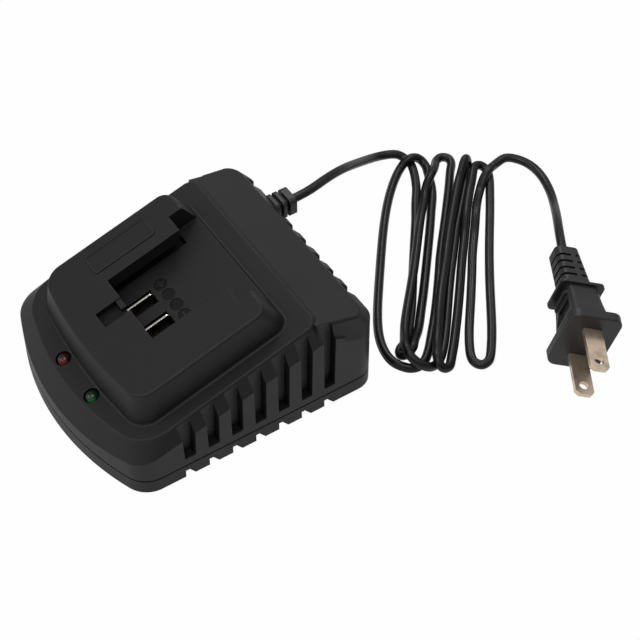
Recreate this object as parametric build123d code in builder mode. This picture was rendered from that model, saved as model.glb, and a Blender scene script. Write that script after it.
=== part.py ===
from build123d import *
import math
import os

# Battery charger with a slide-in dock, mains cord and two-blade plug.
# Millimetres. +Z is up, +Y points to the rear wall, where the cord leaves, and the origin lies on the
# surface that the charger stands on, under the middle of its housing.

os.makedirs("parts", exist_ok=True)

# ---------------------------------------------------------------- housing
housing_width = 82.0  # across the louvred sides
housing_rear = 47.6  # the flat rear wall
side_front = -38.2  # where the straight sides meet the bowed front
front_tip = -47.6  # the foremost point of the bow
front_radius = 9.1
rear_radius = 7.0
foot_stand = 0.4  # the feet hold the base this far off the surface
split_height = 6.2  # joint between the two covers
side_wall = 4.2
front_wall = 2.4
rear_wall = 5.0
roof = 2.2
floor_thickness = 2.5

# The deck: a sloping plateau with chamfered sides.
deck_height = 30.26  # its plane, over the origin
deck_slope = 0.294  # rise per millimetre towards the rear
deck_rear = 26.9
deck_setback = 4.8  # tip of the deck, behind the tip of the wall
deck_corner_setback = 2.7
deck_front_radius = 12.6
deck_rear_radius = 4.0
deck_crease_height = 24.29  # plane in which the side chamfer meets the wall, over the origin
deck_crease_slope = 0.258
shoulder_run = 3.3  # how far out the chamfer runs
shoulder_front_run = 3.7
shoulder_rear_run = 6.4
shoulder_corner_run = 2.7

# The block behind it: lower, sloping down to the rear wall.
block_height = 43.23  # its plane, carried on to the origin
block_slope = -0.22
block_crease_height = 40.8
block_crease_slope = -0.375
block_front = 26.0
block_front_setback = 2.6
block_side_setback = 1.0
block_rear_setback = 3.8
block_rear_run = 11.8  # how far the rear chamfer would run before it meets the crease plane
block_radius = 5.0
block_radius_growth = 3.0
edge_round = 1.0  # moulded edges of the dock and the block
rim_round = 0.8  # and of the deck
foot_round = 0.8  # inner corner between the dock and the deck

# ---------------------------------------------------------------- dock
dock_rise = 11.48  # top of the dock over the deck
dock_half = 30.75
dock_side_front = -32.6
dock_tip = -35.56
dock_rear = 13.5
dock_front_radius = 7.5
dock_rear_radius = 4.3
dock_flare = 1.8  # how much wider the dock is at its foot
dock_front_flare = 0.5
dock_rear_flare = 6.9
dock_skin = 2.2

channel_half = 14.26
channel_front = -18.0
channel_depth = 8.9
rail_thickness = 5.0
rail_rear = 8.65
groove_half = 21.1
groove_pocket_depth = 2.4
groove_pocket_rear = 11.3
groove_pocket_edge = 0.9

well_inner = 2.35
well_outer = 8.05
well_rear = -6.6
mark_diameter = 4.7
mark_line = -3.0
mark_pitch = 5.1
mark_middle = -0.03
mark_depth = 0.3
mark_stroke = 0.55

latch_left = -6.0
latch_right = 0.5
latch_front = -27.0
latch_rear = -19.7
latch_depth = 2.2
latch_gap_left = -2.2
latch_tab_drop = 0.5

label_length = 23.2
label_width = 8.3
label_centre = (-22.85, -8.6)
label_thickness = 0.45
label_recess = 0.3
label_radius = 1.2

# ---------------------------------------------------------------- louvres
louvre_count = 7
louvre_pitch = 8.52
louvre_first = -19.84  # rear edge of the foremost louvre
louvre_bottom = 9.05
louvre_width = 3.96
louvre_depth = 2.8
louvre_sweep = 0.4  # the slots run in obliquely, towards the front
louvre_front_lean = 0.3
louvre_rear_lean = 0.3
notch_first = -20.4
notch_width = 3.4
notch_height = 2.9
notch_depth = 2.0
notch_sweep = 1.07
rear_louvre_pitch = 8.1
rear_louvre_first = -31.25
rear_louvre_slots = (0, 2, 3, 4, 5, 6, 7)  # the grommet takes the place of slot 1
rear_louvre_width = 3.2
rear_louvre_lean = 0.6
rear_louvre_depth = 3.2

# ---------------------------------------------------------------- covers' inner features
fit = 0.15  # clearance between pieces that slide together
lip_height = 1.5
lip_thickness = 1.2
groove_height = 0.6  # shadow line between the covers
groove_depth = 0.45
boss_diameter = 7.0
boss_joint = 9.0  # height at which the bosses of the two covers meet
screw_places = ((-31.0, -30.0), (31.0, -30.0), (-31.0, 30.0), (31.0, 30.0))
screw_shank = 2.9
screw_head = 5.4
screw_head_height = 2.0
screw_cross = 3.2
screw_cross_width = 0.8
screw_cross_depth = 1.1
screw_length = 11.5
screw_seat = 4.4
foot_places = ((-32.0, -18.0), (32.0, -18.0), (-32.0, 18.0), (32.0, 18.0))
foot_diameter = 9.0
foot_recess = 1.1
foot_edge = 0.3
plate_length = 44.0
plate_width = 26.0
plate_thickness = 0.2

# ---------------------------------------------------------------- indicator lights
light_diameter = 5.0
light_proud = 1.0
light_body = 7.6
light_flange = 5.8
light_flange_height = 1.0
light_places = {"red_led": (-7.7, -39.0), "green_led": (10.4, -38.8)}
light_leg = 0.5
light_leg_shift = 2.0
light_leg_length = 4.0
lead_pitch = 2.54  # of the lights and of the parts on the board

# ---------------------------------------------------------------- circuit board
board_half = 26.5
board_front = -32.0
board_rear = 34.0
board_thickness = 1.6
board_bottom = 7.5
tongue_half = 16.0
tongue_front = -39.5
board_screw_places = ((-12.0, 31.0), (12.0, 31.0), (-22.5, -28.5), (22.5, -28.5))
standoff_diameter = 5.0
board_screw_shank = 2.4
board_screw_head = 4.6
board_screw_head_height = 1.6
board_screw_length = 5.5
board_screw_cross = 2.8
board_screw_cross_width = 0.7
board_screw_cross_depth = 0.9

# ---------------------------------------------------------------- terminals
contact_spacing = 10.4
contact_thickness = 0.6
contact_front = -16.7
contact_rear = -6.9
contact_rise = 2.0  # over the floor of the channel
contact_shoulder = 13.0
contact_pin = 2.0
contact_round = 1.2
block_half = 10.5
block_from = -19.0
block_to = -6.2

# ---------------------------------------------------------------- cord, grommet and plug
cord_diameter = 3.2
grommet_x = -22.3
grommet_drop = 17.83  # its centre below the rear block's plane
grommet_neck = 6.0
grommet_reach = 7.6  # how far it stands out of the rear wall
grommet_flange = 8.0
grommet_end = 2.6
grommet_rib = 1.3
grommet_pitch = 2.5
grommet_stem = 5.2
grommet_inner_flange = 9.0
grommet_inner_thickness = 1.6
wire_diameter = 2.0
wire_spacing = 2.6

saddle_width = 15.4
saddle_thickness = 3.6
saddle_y = 36.4
clamp_height = 3.0
clamp_screw_spacing = 10.4
clamp_screw_shank = 2.2
clamp_screw_head = 3.6
clamp_screw_head_height = 1.4
clamp_screw_length = 8.0
clamp_screw_slot = 2.4
clamp_screw_slot_width = 0.6
clamp_screw_slot_depth = 0.7

plug_x = 73.69
plug_y = 105.57
plug_heading = -30.0  # degrees from +X
plug_roll = 16.0
plug_width = 18.2
plug_height = 24.8
plug_radius = 3.6
plug_rim = 3.4
plug_edge = 0.6
grip_sections = ((3.4, 13.2, 18.6), (11.0, 11.6, 15.4), (20.2, 11.2, 12.4))  # behind the face, width, height
grip_radius = 1.8
grip_lip_width = 15.6
grip_lip_height = 14.4
grip_lip_thickness = 1.3
grip_lip_edge = 0.4
grip_rib_behind = 16.3  # a low rib in front of the lip, on both sides
grip_rib_width = 12.8
grip_rib_height = 11.2
grip_pocket_outline = ((9.3, 5.6), (9.3, -6.0), (14.4, -3.5), (14.4, 5.2))  # behind the face, height
grip_pocket_floor = 4.5  # from the plug's middle
grip_core_height = 13.0
grip_web = 0.2
plug_body = 20.9
relief_length = 17.8
relief_base = (10.2, 8.8)
relief_tip = (8.4, 8.0)
relief_radius = 2.0
relief_lean = -1.6  # towards the cord, at the tip
relief_grooves = 4
relief_groove_width = 0.9
relief_groove_depth = 1.3
relief_groove_pitch = 2.95
relief_groove_first = 3.3  # from the tip
relief_web = (0.3, 1.9)  # uncut strip between the grooves of the two sides
blade_width = 6.35
blade_thickness = 1.5
blade_length = 16.5
blade_spacing = 12.7
blade_hole = 3.2
blade_hole_inset = 3.6

# Worked-out sizes that several pieces share.
wall_half = housing_width / 2
board_top = board_bottom + board_thickness
cover_floor = foot_stand + floor_thickness
inner_rear = housing_rear - rear_wall
channel_rise = dock_rise - channel_depth
grommet_z = block_height - grommet_drop


def slope_plane(height, slope):
    """Plane at this height over the origin, rising towards the rear."""
    tilt = math.atan(slope)
    return Plane(origin=(0, 0, height), x_dir=(1, 0, 0), z_dir=(0, -math.sin(tilt), math.cos(tilt)))


def dock_plane(rise):
    """Plane parallel to the deck, this far above it."""
    return slope_plane(deck_height + rise, deck_slope)


def along(y, slope=deck_slope):
    """A distance in plan, measured along a slope."""
    return y / math.cos(math.atan(slope))


def bowed_outline(half, side, tip, rear, corner, rear_corner, slope=0.0):
    """Outline with straight sides, a flat rear and a front that bows out, given in plan."""
    side_at, tip_at, rear_at = along(side, slope), along(tip, slope), along(rear, slope)
    with BuildSketch() as outline:
        with BuildLine():
            Polyline((-half, side_at), (-half, rear_at), (half, rear_at), (half, side_at))
            ThreePointArc((half, side_at), (0, tip_at), (-half, side_at))
        make_face()
        fillet(outline.vertices().group_by(Axis.Y)[0], corner)
        fillet(outline.vertices().group_by(Axis.Y)[-1], rear_corner)
    return outline.sketch


def patch(x_from, x_to, y_from, y_to, slope=deck_slope, corner=0.0):
    """Rectangle given in plan, for a sketch on a slope."""
    with BuildSketch() as rectangle:
        with Locations(((x_from + x_to) / 2, along((y_from + y_to) / 2, slope))):
            Rectangle(x_to - x_from, along(y_to - y_from, slope))
        if corner > 0:
            fillet(rectangle.vertices(), corner)
    return rectangle.sketch


def wall_outline(side_inset=0.0, front_inset=0.0, rear_inset=0.0):
    """The housing in plan, drawn in by its walls."""
    return bowed_outline(
        wall_half - side_inset,
        side_front + front_inset,
        front_tip + front_inset,
        housing_rear - rear_inset,
        front_radius - side_inset,
        rear_radius - side_inset,
    )


def between(top, crease, share):
    """A value at this share of a side chamfer: 0 at its top edge, 1 where it meets the wall."""
    return top + (crease - top) * share


def deck_section(share, side_inset, front_inset):
    """The deck in plan, at a share of its side chamfer."""
    return bowed_outline(
        wall_half - shoulder_run * (1 - share) - side_inset,
        side_front + deck_corner_setback - shoulder_corner_run * share + front_inset,
        front_tip + deck_setback - shoulder_front_run * share + front_inset,
        deck_rear + shoulder_rear_run * share,
        deck_front_radius - 3.0 * share - side_inset,
        deck_rear_radius + 2.0 * share,
        between(deck_slope, deck_crease_slope, share),
    )


def block_section(share, side_inset, rear_inset):
    """The rear block in plan, in the same way."""
    front_half = wall_half - block_front_setback * (1 - share) - side_inset
    rear_half = wall_half - block_side_setback * (1 - share) - side_inset
    slope = between(block_slope, block_crease_slope, share)
    front_at = along(block_front, slope)
    rear_at = along(housing_rear - block_rear_setback + block_rear_run * share - rear_inset, slope)
    with BuildSketch() as outline:
        with BuildLine():
            Polyline(
                (-front_half, front_at),
                (front_half, front_at),
                (rear_half, rear_at),
                (-rear_half, rear_at),
                close=True,
            )
        make_face()
        fillet(outline.vertices().group_by(Axis.Y)[-1], block_radius + block_radius_growth * share - side_inset / 2)
    return outline.sketch


def housing_form(side_inset, front_inset, rear_inset, top_inset, bottom):
    """The housing's form above a height, drawn in by its walls and its roof."""
    overrun = 1.6  # the chamfers are carried on past the walls, which then cut them off
    deck_top = slope_plane(deck_height - top_inset, deck_slope)
    deck_low = slope_plane(
        between(deck_height, deck_crease_height, overrun) - top_inset,
        between(deck_slope, deck_crease_slope, overrun),
    )
    block_top = slope_plane(block_height - top_inset, block_slope)
    block_low = slope_plane(
        between(block_height, block_crease_height, overrun) - top_inset,
        between(block_slope, block_crease_slope, overrun),
    )
    with BuildPart() as crown:
        with BuildSketch(deck_top):
            add(deck_section(0, side_inset, front_inset))
        with BuildSketch(deck_low):
            add(deck_section(overrun, side_inset, front_inset))
        loft(ruled=True)
        with BuildSketch(deck_low):
            add(deck_section(overrun, side_inset, front_inset))
        extrude(amount=housing_width, dir=(0, 0, -1))
        with BuildSketch(block_top):
            add(block_section(0, side_inset, rear_inset))
        with BuildSketch(block_low):
            add(block_section(overrun, side_inset, rear_inset))
        loft(ruled=True)
        with BuildSketch(block_low):
            add(block_section(overrun, side_inset, rear_inset))
        extrude(amount=housing_width, dir=(0, 0, -1))
    with BuildPart() as form:
        with BuildSketch(Plane.XY.offset(bottom)):
            add(wall_outline(side_inset, front_inset, rear_inset))
        extrude(amount=housing_width)
        add(crown.part, mode=Mode.INTERSECT)
    return form.part


def edges_on(part, plane):
    """The edges of a part that lie in a plane."""
    return part.edges().filter_by(
        lambda edge: all(abs(plane.to_local_coords(edge @ at).Z) < 0.02 for at in (0, 0.5, 1))
    )


def at_dock_foot(edge):
    """Whether an edge of the deck is one of those where the dock stands on it."""
    middle = edge @ 0.5
    return (
        abs(middle.X) < dock_half + dock_flare + edge_round
        and dock_tip - edge_round < middle.Y < dock_rear + dock_rear_flare + edge_round / 2
    )


# ---------------------------------------------------------------- top cover
with BuildPart() as cavity:
    add(housing_form(side_wall, front_wall, rear_wall, roof, split_height))
    # hollows in the dock, so that its walls stay even
    with BuildSketch(dock_plane(-roof - 1)):
        add(patch(-dock_half + dock_skin, dock_half - dock_skin, -31.5, latch_rear - 0.8, corner=4.0))
    extrude(amount=dock_rise - latch_depth - dock_skin + roof + 1, dir=(0, 0, 1))
    for side in (-1, 1):
        inner, outer = side * (groove_half + dock_skin), side * (dock_half - dock_skin)
        with BuildSketch(dock_plane(-roof - 1)):
            add(patch(min(inner, outer), max(inner, outer), channel_front, dock_rear - dock_skin))
        extrude(amount=dock_rise - dock_skin + roof + 1, dir=(0, 0, 1))
    # seat of the grommet's inner flange
    with BuildSketch(Plane.XZ.offset(-inner_rear)):
        with Locations((grommet_x, grommet_z)):
            Rectangle(grommet_inner_flange + 2 * fit, grommet_inner_flange + 2 * fit)
    extrude(amount=8.0)
    # room round the lights
    for x, y in light_places.values():
        lens = Plane(
            origin=(x, y, deck_height + deck_slope * y), x_dir=(1, 0, 0), z_dir=dock_plane(0).z_dir
        )
        with BuildSketch(lens.offset(-roof)):
            Circle(light_flange / 2 + 0.3)
        extrude(amount=-light_body)
    # the screw bosses stay
    with BuildSketch(Plane.XY.offset(boss_joint)):
        with Locations(*screw_places):
            Circle(boss_diameter / 2)
    extrude(amount=housing_width, mode=Mode.SUBTRACT)

with BuildPart() as louvres:
    side_plane = Plane(origin=(wall_half, 0, 0), x_dir=(0, 1, 0), z_dir=(1, 0, 0))
    for index in range(louvre_count):
        rear_edge = louvre_first + index * louvre_pitch
        front_edge = rear_edge - louvre_width
        crease = deck_crease_height + deck_crease_slope * rear_edge
        with BuildSketch(side_plane):
            with BuildLine():
                Polyline(
                    (front_edge, louvre_bottom),
                    (rear_edge, louvre_bottom),
                    (rear_edge + louvre_rear_lean, crease),
                    (rear_edge + louvre_rear_lean, deck_height + dock_rise),
                    (front_edge - louvre_front_lean, deck_height + dock_rise),
                    (front_edge - louvre_front_lean, crease),
                    close=True,
                )
            make_face()
        extrude(amount=math.hypot(louvre_depth, louvre_sweep), dir=(-louvre_depth, -louvre_sweep, 0))

with BuildPart() as rear_louvres:
    rear_plane = Plane(origin=(0, housing_rear, 0), x_dir=(1, 0, 0), z_dir=(0, -1, 0))
    for index in rear_louvre_slots:
        middle = rear_louvre_first + index * rear_louvre_pitch
        crease = block_crease_height + block_crease_slope * housing_rear
        with BuildSketch(rear_plane):
            with BuildLine():
                Polyline(
                    (middle - rear_louvre_width / 2, louvre_bottom),
                    (middle + rear_louvre_width / 2, louvre_bottom),
                    (middle + rear_louvre_width / 2 + rear_louvre_lean, crease),
                    (middle + rear_louvre_width / 2 + rear_louvre_lean, block_height),
                    (middle - rear_louvre_width / 2 - rear_louvre_lean, block_height),
                    (middle - rear_louvre_width / 2 - rear_louvre_lean, crease),
                    close=True,
                )
            make_face()
        extrude(amount=rear_louvre_depth)

with BuildPart() as top_cover:
    add(housing_form(0, 0, 0, 0, split_height))
    with BuildSketch(dock_plane(0)):
        add(
            bowed_outline(
                dock_half + dock_flare,
                dock_side_front - 1.0,
                dock_tip - dock_front_flare,
                dock_rear + dock_rear_flare,
                dock_front_radius,
                dock_rear_radius + 0.7,
                deck_slope,
            )
        )
    with BuildSketch(dock_plane(dock_rise)):
        add(
            bowed_outline(
                dock_half,
                dock_side_front,
                dock_tip,
                dock_rear,
                dock_front_radius,
                dock_rear_radius,
                deck_slope,
            )
        )
    loft(ruled=True)
    # moulded edges: the dock's top, the deck's rim, the dock's foot and the rear block
    fillet(edges_on(top_cover, dock_plane(dock_rise)), edge_round)
    deck_edges = edges_on(top_cover, dock_plane(0))
    fillet([edge for edge in deck_edges if not at_dock_foot(edge)], rim_round)
    fillet(edges_on(top_cover, dock_plane(0)).filter_by(at_dock_foot), foot_round)
    fillet(
        edges_on(top_cover, slope_plane(block_height, block_slope)).filter_by(
            lambda edge: (edge @ 0.5).Y > deck_rear + deck_rear_radius
        ),
        edge_round,
    )
    add(cavity.part, mode=Mode.SUBTRACT)
    add(louvres.part, mode=Mode.SUBTRACT)
    mirror(louvres.part, about=Plane.YZ, mode=Mode.SUBTRACT)
    add(rear_louvres.part, mode=Mode.SUBTRACT)
    # the channel that the battery slides into, with rails over its grooves
    with BuildSketch(dock_plane(channel_rise)):
        add(patch(-channel_half, channel_half, channel_front, deck_rear))
    extrude(amount=dock_rise, dir=(0, 0, 1), mode=Mode.SUBTRACT)
    with BuildSketch(dock_plane(channel_rise)):
        add(patch(-groove_half, groove_half, channel_front, rail_rear))
    extrude(amount=channel_depth - rail_thickness, dir=(0, 0, 1), mode=Mode.SUBTRACT)
    with BuildSketch(dock_plane(channel_rise)):
        add(patch(-groove_half, groove_half, rail_rear, deck_rear))
    extrude(amount=dock_rise, dir=(0, 0, 1), mode=Mode.SUBTRACT)
    for side in (-1, 1):
        inner = side * (channel_half + groove_pocket_edge)
        outer = side * (groove_half - groove_pocket_edge)
        with BuildSketch(dock_plane(channel_rise)):
            add(patch(min(inner, outer), max(inner, outer), channel_front + 1, groove_pocket_rear))
        extrude(amount=groove_pocket_depth, dir=(0, 0, -1), mode=Mode.SUBTRACT)
        # wells of the two contacts
        inner, outer = side * well_inner, side * well_outer
        with BuildSketch(dock_plane(channel_rise)):
            add(patch(min(inner, outer), max(inner, outer), channel_front, well_rear))
        extrude(amount=channel_rise + roof + 1, dir=(0, 0, -1), mode=Mode.SUBTRACT)
    # four moulded marks, plus at one end and minus at the other
    with BuildSketch(dock_plane(channel_rise)):
        for index in range(4):
            with Locations((mark_middle + (index - 1.5) * mark_pitch, along(mark_line))):
                Circle(mark_diameter / 2)
                if index in (0, 3):
                    Rectangle(mark_diameter * 0.6, mark_stroke, mode=Mode.SUBTRACT)
                if index == 0:
                    Rectangle(mark_stroke, mark_diameter * 0.6, mode=Mode.SUBTRACT)
    extrude(amount=mark_depth, dir=(0, 0, -1), mode=Mode.SUBTRACT)
    # pocket for the battery's latch, with a tab and a gap in front of the channel
    with BuildSketch(dock_plane(dock_rise)):
        add(patch(latch_left, latch_right, latch_front, latch_rear))
        add(patch(latch_gap_left, latch_right - 0.2, latch_rear - 0.1, channel_front + 0.1))
    extrude(amount=latch_depth, dir=(0, 0, -1), mode=Mode.SUBTRACT)
    with BuildSketch(dock_plane(dock_rise)):
        add(patch(latch_left, latch_gap_left, latch_rear, channel_front + 0.1))
    extrude(amount=latch_tab_drop, dir=(0, 0, -1), mode=Mode.SUBTRACT)
    # recess of the label plate
    with BuildSketch(dock_plane(dock_rise)):
        with Locations((label_centre[0], along(label_centre[1]))):
            RectangleRounded(label_width + 2 * fit, label_length + 2 * fit, label_radius)
    extrude(amount=-label_recess, mode=Mode.SUBTRACT)
    # holes of the lights
    for x, y in light_places.values():
        lens = Plane(
            origin=(x, y, deck_height + deck_slope * y), x_dir=(1, 0, 0), z_dir=dock_plane(0).z_dir
        )
        with BuildSketch(lens):
            Circle(light_diameter / 2 + fit)
        extrude(amount=-light_body, mode=Mode.SUBTRACT)
    # hole of the grommet
    with BuildSketch(Plane.XZ.offset(-inner_rear)):
        with Locations((grommet_x, grommet_z)):
            Rectangle(grommet_neck + 2 * fit, grommet_neck + 2 * fit)
    extrude(amount=-2 * rear_wall, mode=Mode.SUBTRACT)
    # pilot holes of the housing screws
    with BuildSketch(Plane.XY.offset(boss_joint)):
        with Locations(*screw_places):
            Circle(screw_shank / 2 + 0.02)
    extrude(amount=screw_seat + screw_length + 0.8 - boss_joint, mode=Mode.SUBTRACT)
top_cover.part.label = "top_cover"
export_step(top_cover.part, "parts/top_cover.step")

# ---------------------------------------------------------------- base cover
with BuildPart() as notches:
    side_plane = Plane(origin=(wall_half, 0, 0), x_dir=(0, 1, 0), z_dir=(1, 0, 0))
    with BuildSketch(side_plane):
        for index in range(louvre_count):
            with Locations((notch_first + index * louvre_pitch - notch_width / 2, 0)):
                Rectangle(notch_width, 2 * (foot_stand + notch_height))
    extrude(amount=math.hypot(notch_depth, notch_sweep), dir=(-notch_depth, -notch_sweep, 0))

lip_inset = side_wall + fit
with BuildPart() as base_cover:
    with BuildSketch(Plane.XY.offset(foot_stand)):
        add(wall_outline())
    extrude(amount=split_height - groove_height - foot_stand)
    with BuildSketch(Plane.XY.offset(split_height - groove_height)):
        add(wall_outline(groove_depth, groove_depth, groove_depth))
    extrude(amount=groove_height)
    with BuildSketch(Plane.XY.offset(split_height)):
        add(wall_outline(lip_inset, front_wall + fit, rear_wall + fit))
    extrude(amount=lip_height)
    with BuildSketch(Plane.XY.offset(cover_floor)):
        add(
            wall_outline(
                lip_inset + lip_thickness, front_wall + fit + lip_thickness, rear_wall + fit + lip_thickness
            )
        )
    extrude(amount=split_height, mode=Mode.SUBTRACT)
    add(notches.part, mode=Mode.SUBTRACT)
    mirror(notches.part, about=Plane.YZ, mode=Mode.SUBTRACT)
    # screw bosses, board standoffs and the saddle that carries the mains wires
    with BuildSketch(Plane.XY.offset(cover_floor)):
        with Locations(*screw_places):
            Circle(boss_diameter / 2)
    extrude(amount=boss_joint - cover_floor)
    with BuildSketch(Plane.XY.offset(cover_floor)):
        with Locations(*board_screw_places):
            Circle(standoff_diameter / 2)
    extrude(amount=board_bottom - cover_floor)
    with BuildSketch(Plane.XY.offset(cover_floor)):
        with Locations((grommet_x, saddle_y)):
            Rectangle(saddle_width, saddle_thickness)
    extrude(amount=grommet_z + wire_diameter / 2 - cover_floor)
    with BuildSketch(Plane.XY.offset(grommet_z - wire_diameter / 2)):
        with Locations((grommet_x, saddle_y)):
            Rectangle(wire_spacing + wire_diameter + 2 * fit, 2 * saddle_thickness)
    extrude(amount=2 * wire_diameter, mode=Mode.SUBTRACT)
    # holes of all screws, recesses of the feet and of the rating plate
    with BuildSketch(Plane.XY):
        with Locations(*screw_places):
            Circle(screw_head / 2 + 2 * fit)
    extrude(amount=screw_seat, mode=Mode.SUBTRACT)
    with BuildSketch(Plane.XY.offset(screw_seat)):
        with Locations(*screw_places):
            Circle(screw_shank / 2 + fit)
    extrude(amount=boss_joint, mode=Mode.SUBTRACT)
    with BuildSketch(Plane.XY.offset(board_bottom)):
        with Locations(*board_screw_places):
            Circle(board_screw_shank / 2 + 0.02)
    extrude(amount=-(board_screw_length - board_thickness + 0.4), mode=Mode.SUBTRACT)
    with BuildSketch(Plane.XY.offset(grommet_z + wire_diameter / 2)):
        with GridLocations(clamp_screw_spacing, 1, 2, 1):
            with Locations((grommet_x, saddle_y)):
                Circle(clamp_screw_shank / 2 + 0.02)
    extrude(amount=-(clamp_screw_length - clamp_height + 0.5), mode=Mode.SUBTRACT)
    with BuildSketch(Plane.XY.offset(foot_stand)):
        with Locations(*foot_places):
            Circle(foot_diameter / 2 + fit / 2)
    extrude(amount=foot_recess, mode=Mode.SUBTRACT)
    with BuildSketch(Plane.XY.offset(foot_stand)):
        RectangleRounded(plate_length + fit, plate_width + fit, 2)
    extrude(amount=plate_thickness, mode=Mode.SUBTRACT)
base_cover.part.label = "base_cover"
export_step(base_cover.part, "parts/base_cover.step")

with BuildPart() as rubber_feet:
    with BuildSketch(Plane.XY):
        with Locations(*foot_places):
            Circle(foot_diameter / 2)
    extrude(amount=foot_stand + foot_recess)
    fillet(rubber_feet.edges().group_by(Axis.Z)[0], foot_edge)
rubber_feet.part.label = "rubber_feet"
export_step(rubber_feet.part, "parts/rubber_feet.step")

with BuildPart() as rating_plate:
    with BuildSketch(Plane.XY.offset(foot_stand)):
        RectangleRounded(plate_length, plate_width, 2)
    extrude(amount=plate_thickness)
rating_plate.part.label = "rating_plate"
export_step(rating_plate.part, "parts/rating_plate.step")

with BuildPart() as housing_screws:
    with BuildSketch(Plane.XY.offset(screw_seat)):
        with Locations(*screw_places):
            Circle(screw_head / 2)
    extrude(amount=-screw_head_height)
    with BuildSketch(Plane.XY.offset(screw_seat)):
        with Locations(*screw_places):
            Circle(screw_shank / 2)
    extrude(amount=screw_length)
    with BuildSketch(Plane.XY.offset(screw_seat - screw_head_height)):
        with Locations(*screw_places):
            Rectangle(screw_cross, screw_cross_width)
            Rectangle(screw_cross_width, screw_cross)
    extrude(amount=screw_cross_depth, mode=Mode.SUBTRACT)
housing_screws.part.label = "housing_screws"
export_step(housing_screws.part, "parts/housing_screws.step")

with BuildPart() as dock_label:
    with BuildSketch(dock_plane(dock_rise)):
        with Locations((label_centre[0], along(label_centre[1]))):
            RectangleRounded(label_width, label_length, label_radius - fit / 2)
    extrude(amount=-label_recess)
    extrude(dock_label.faces().sort_by(Axis.Z)[-1], amount=label_thickness - label_recess)
dock_label.part.label = "dock_label"
export_step(dock_label.part, "parts/dock_label.step")

# ---------------------------------------------------------------- indicator lights
for name, (x, y) in light_places.items():
    lens = Plane(
        origin=(x, y, deck_height + deck_slope * y), x_dir=(1, 0, 0), z_dir=dock_plane(0).z_dir
    )
    radius = light_diameter / 2
    with BuildPart() as led:
        with BuildSketch(Plane(origin=lens.origin, x_dir=lens.x_dir, z_dir=lens.y_dir)):
            with BuildLine():
                dome = light_proud - radius
                Polyline((0, -light_body), (light_flange / 2, -light_body))
                Polyline(
                    (light_flange / 2, -light_body),
                    (light_flange / 2, -light_body + light_flange_height),
                    (radius, -light_body + light_flange_height),
                    (radius, dome),
                )
                CenterArc((0, dome), radius, 0, 90)
                Line((0, light_proud), (0, -light_body))
            make_face()
            mirror(about=Plane.XZ, mode=Mode.REPLACE)
        revolve(axis=Axis(lens.origin, lens.z_dir))
        with BuildSketch(Plane.XY.offset(board_top)):
            with Locations((x, y + light_leg_shift)):
                with GridLocations(lead_pitch, 1, 2, 1):
                    Rectangle(light_leg, light_leg)
        extrude(amount=light_leg_length)
    led.part.label = name
    export_step(led.part, "parts/" + name + ".step")

# ---------------------------------------------------------------- circuit board
with BuildPart() as circuit_board:
    with BuildSketch(Plane.XY.offset(board_bottom)):
        add(patch(-board_half, board_half, board_front, board_rear, 0, 2))
        add(patch(-tongue_half, tongue_half, tongue_front, board_front + 1, 0))
        with Locations(*board_screw_places):
            Circle(board_screw_shank / 2 + fit, mode=Mode.SUBTRACT)
    extrude(amount=board_thickness)
circuit_board.part.label = "circuit_board"
export_step(circuit_board.part, "parts/circuit_board.step")

with BuildPart() as board_screws:
    with BuildSketch(Plane.XY.offset(board_top)):
        with Locations(*board_screw_places):
            Circle(board_screw_head / 2)
    extrude(amount=board_screw_head_height)
    with BuildSketch(Plane.XY.offset(board_top)):
        with Locations(*board_screw_places):
            Circle(board_screw_shank / 2)
    extrude(amount=-board_screw_length)
    with BuildSketch(Plane.XY.offset(board_top + board_screw_head_height)):
        with Locations(*board_screw_places):
            Rectangle(board_screw_cross, board_screw_cross_width)
            Rectangle(board_screw_cross_width, board_screw_cross)
    extrude(amount=-board_screw_cross_depth, mode=Mode.SUBTRACT)
board_screws.part.label = "board_screws"
export_step(board_screws.part, "parts/board_screws.step")

# ---------------------------------------------------------------- terminals
with BuildPart() as terminal_block:
    with BuildSketch(Plane.XY.offset(board_top)):
        add(patch(-block_half, block_half, block_from, block_to, 0))
    extrude(amount=housing_width)
    split(bisect_by=slope_plane(deck_height - roof - 0.1, deck_slope), keep=Keep.BOTTOM)
    for side in (-1, 1):
        middle = side * contact_spacing / 2
        slot = contact_thickness / 2 + 0.1
        with BuildSketch(Plane.XY.offset(contact_shoulder)):
            add(patch(middle - slot, middle + slot, contact_front - 0.1, contact_rear + 0.1, 0))
        extrude(amount=housing_width, mode=Mode.SUBTRACT)
        pin_middle = (contact_front + contact_rear) / 2
        pin = contact_pin / 2 + 0.1
        with BuildSketch(Plane.XY.offset(board_top)):
            add(patch(middle - slot, middle + slot, pin_middle - pin, pin_middle + pin, 0))
        extrude(amount=housing_width, mode=Mode.SUBTRACT)
terminal_block.part.label = "terminal_block"
export_step(terminal_block.part, "parts/terminal_block.step")

for name, side in (("positive_terminal", -1), ("negative_terminal", 1)):
    tip = deck_height + channel_rise + contact_rise
    pin_middle = (contact_front + contact_rear) / 2
    flank = Plane(
        origin=(side * contact_spacing / 2 - contact_thickness / 2, 0, 0), x_dir=(0, 1, 0), z_dir=(1, 0, 0)
    )
    with BuildPart() as terminal:
        with BuildSketch(flank) as profile:
            with BuildLine():
                Polyline(
                    (pin_middle - contact_pin / 2, board_top),
                    (pin_middle + contact_pin / 2, board_top),
                    (pin_middle + contact_pin / 2, contact_shoulder),
                    (contact_rear, contact_shoulder),
                    (contact_rear, tip + deck_slope * contact_rear),
                    (contact_front, tip + deck_slope * contact_front),
                    (contact_front, contact_shoulder),
                    (pin_middle - contact_pin / 2, contact_shoulder),
                    close=True,
                )
            make_face()
            fillet(profile.vertices().sort_by(Axis.Y)[-1], contact_round)
        extrude(amount=contact_thickness)
    terminal.part.label = name
    export_step(terminal.part, "parts/" + name + ".step")

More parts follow.
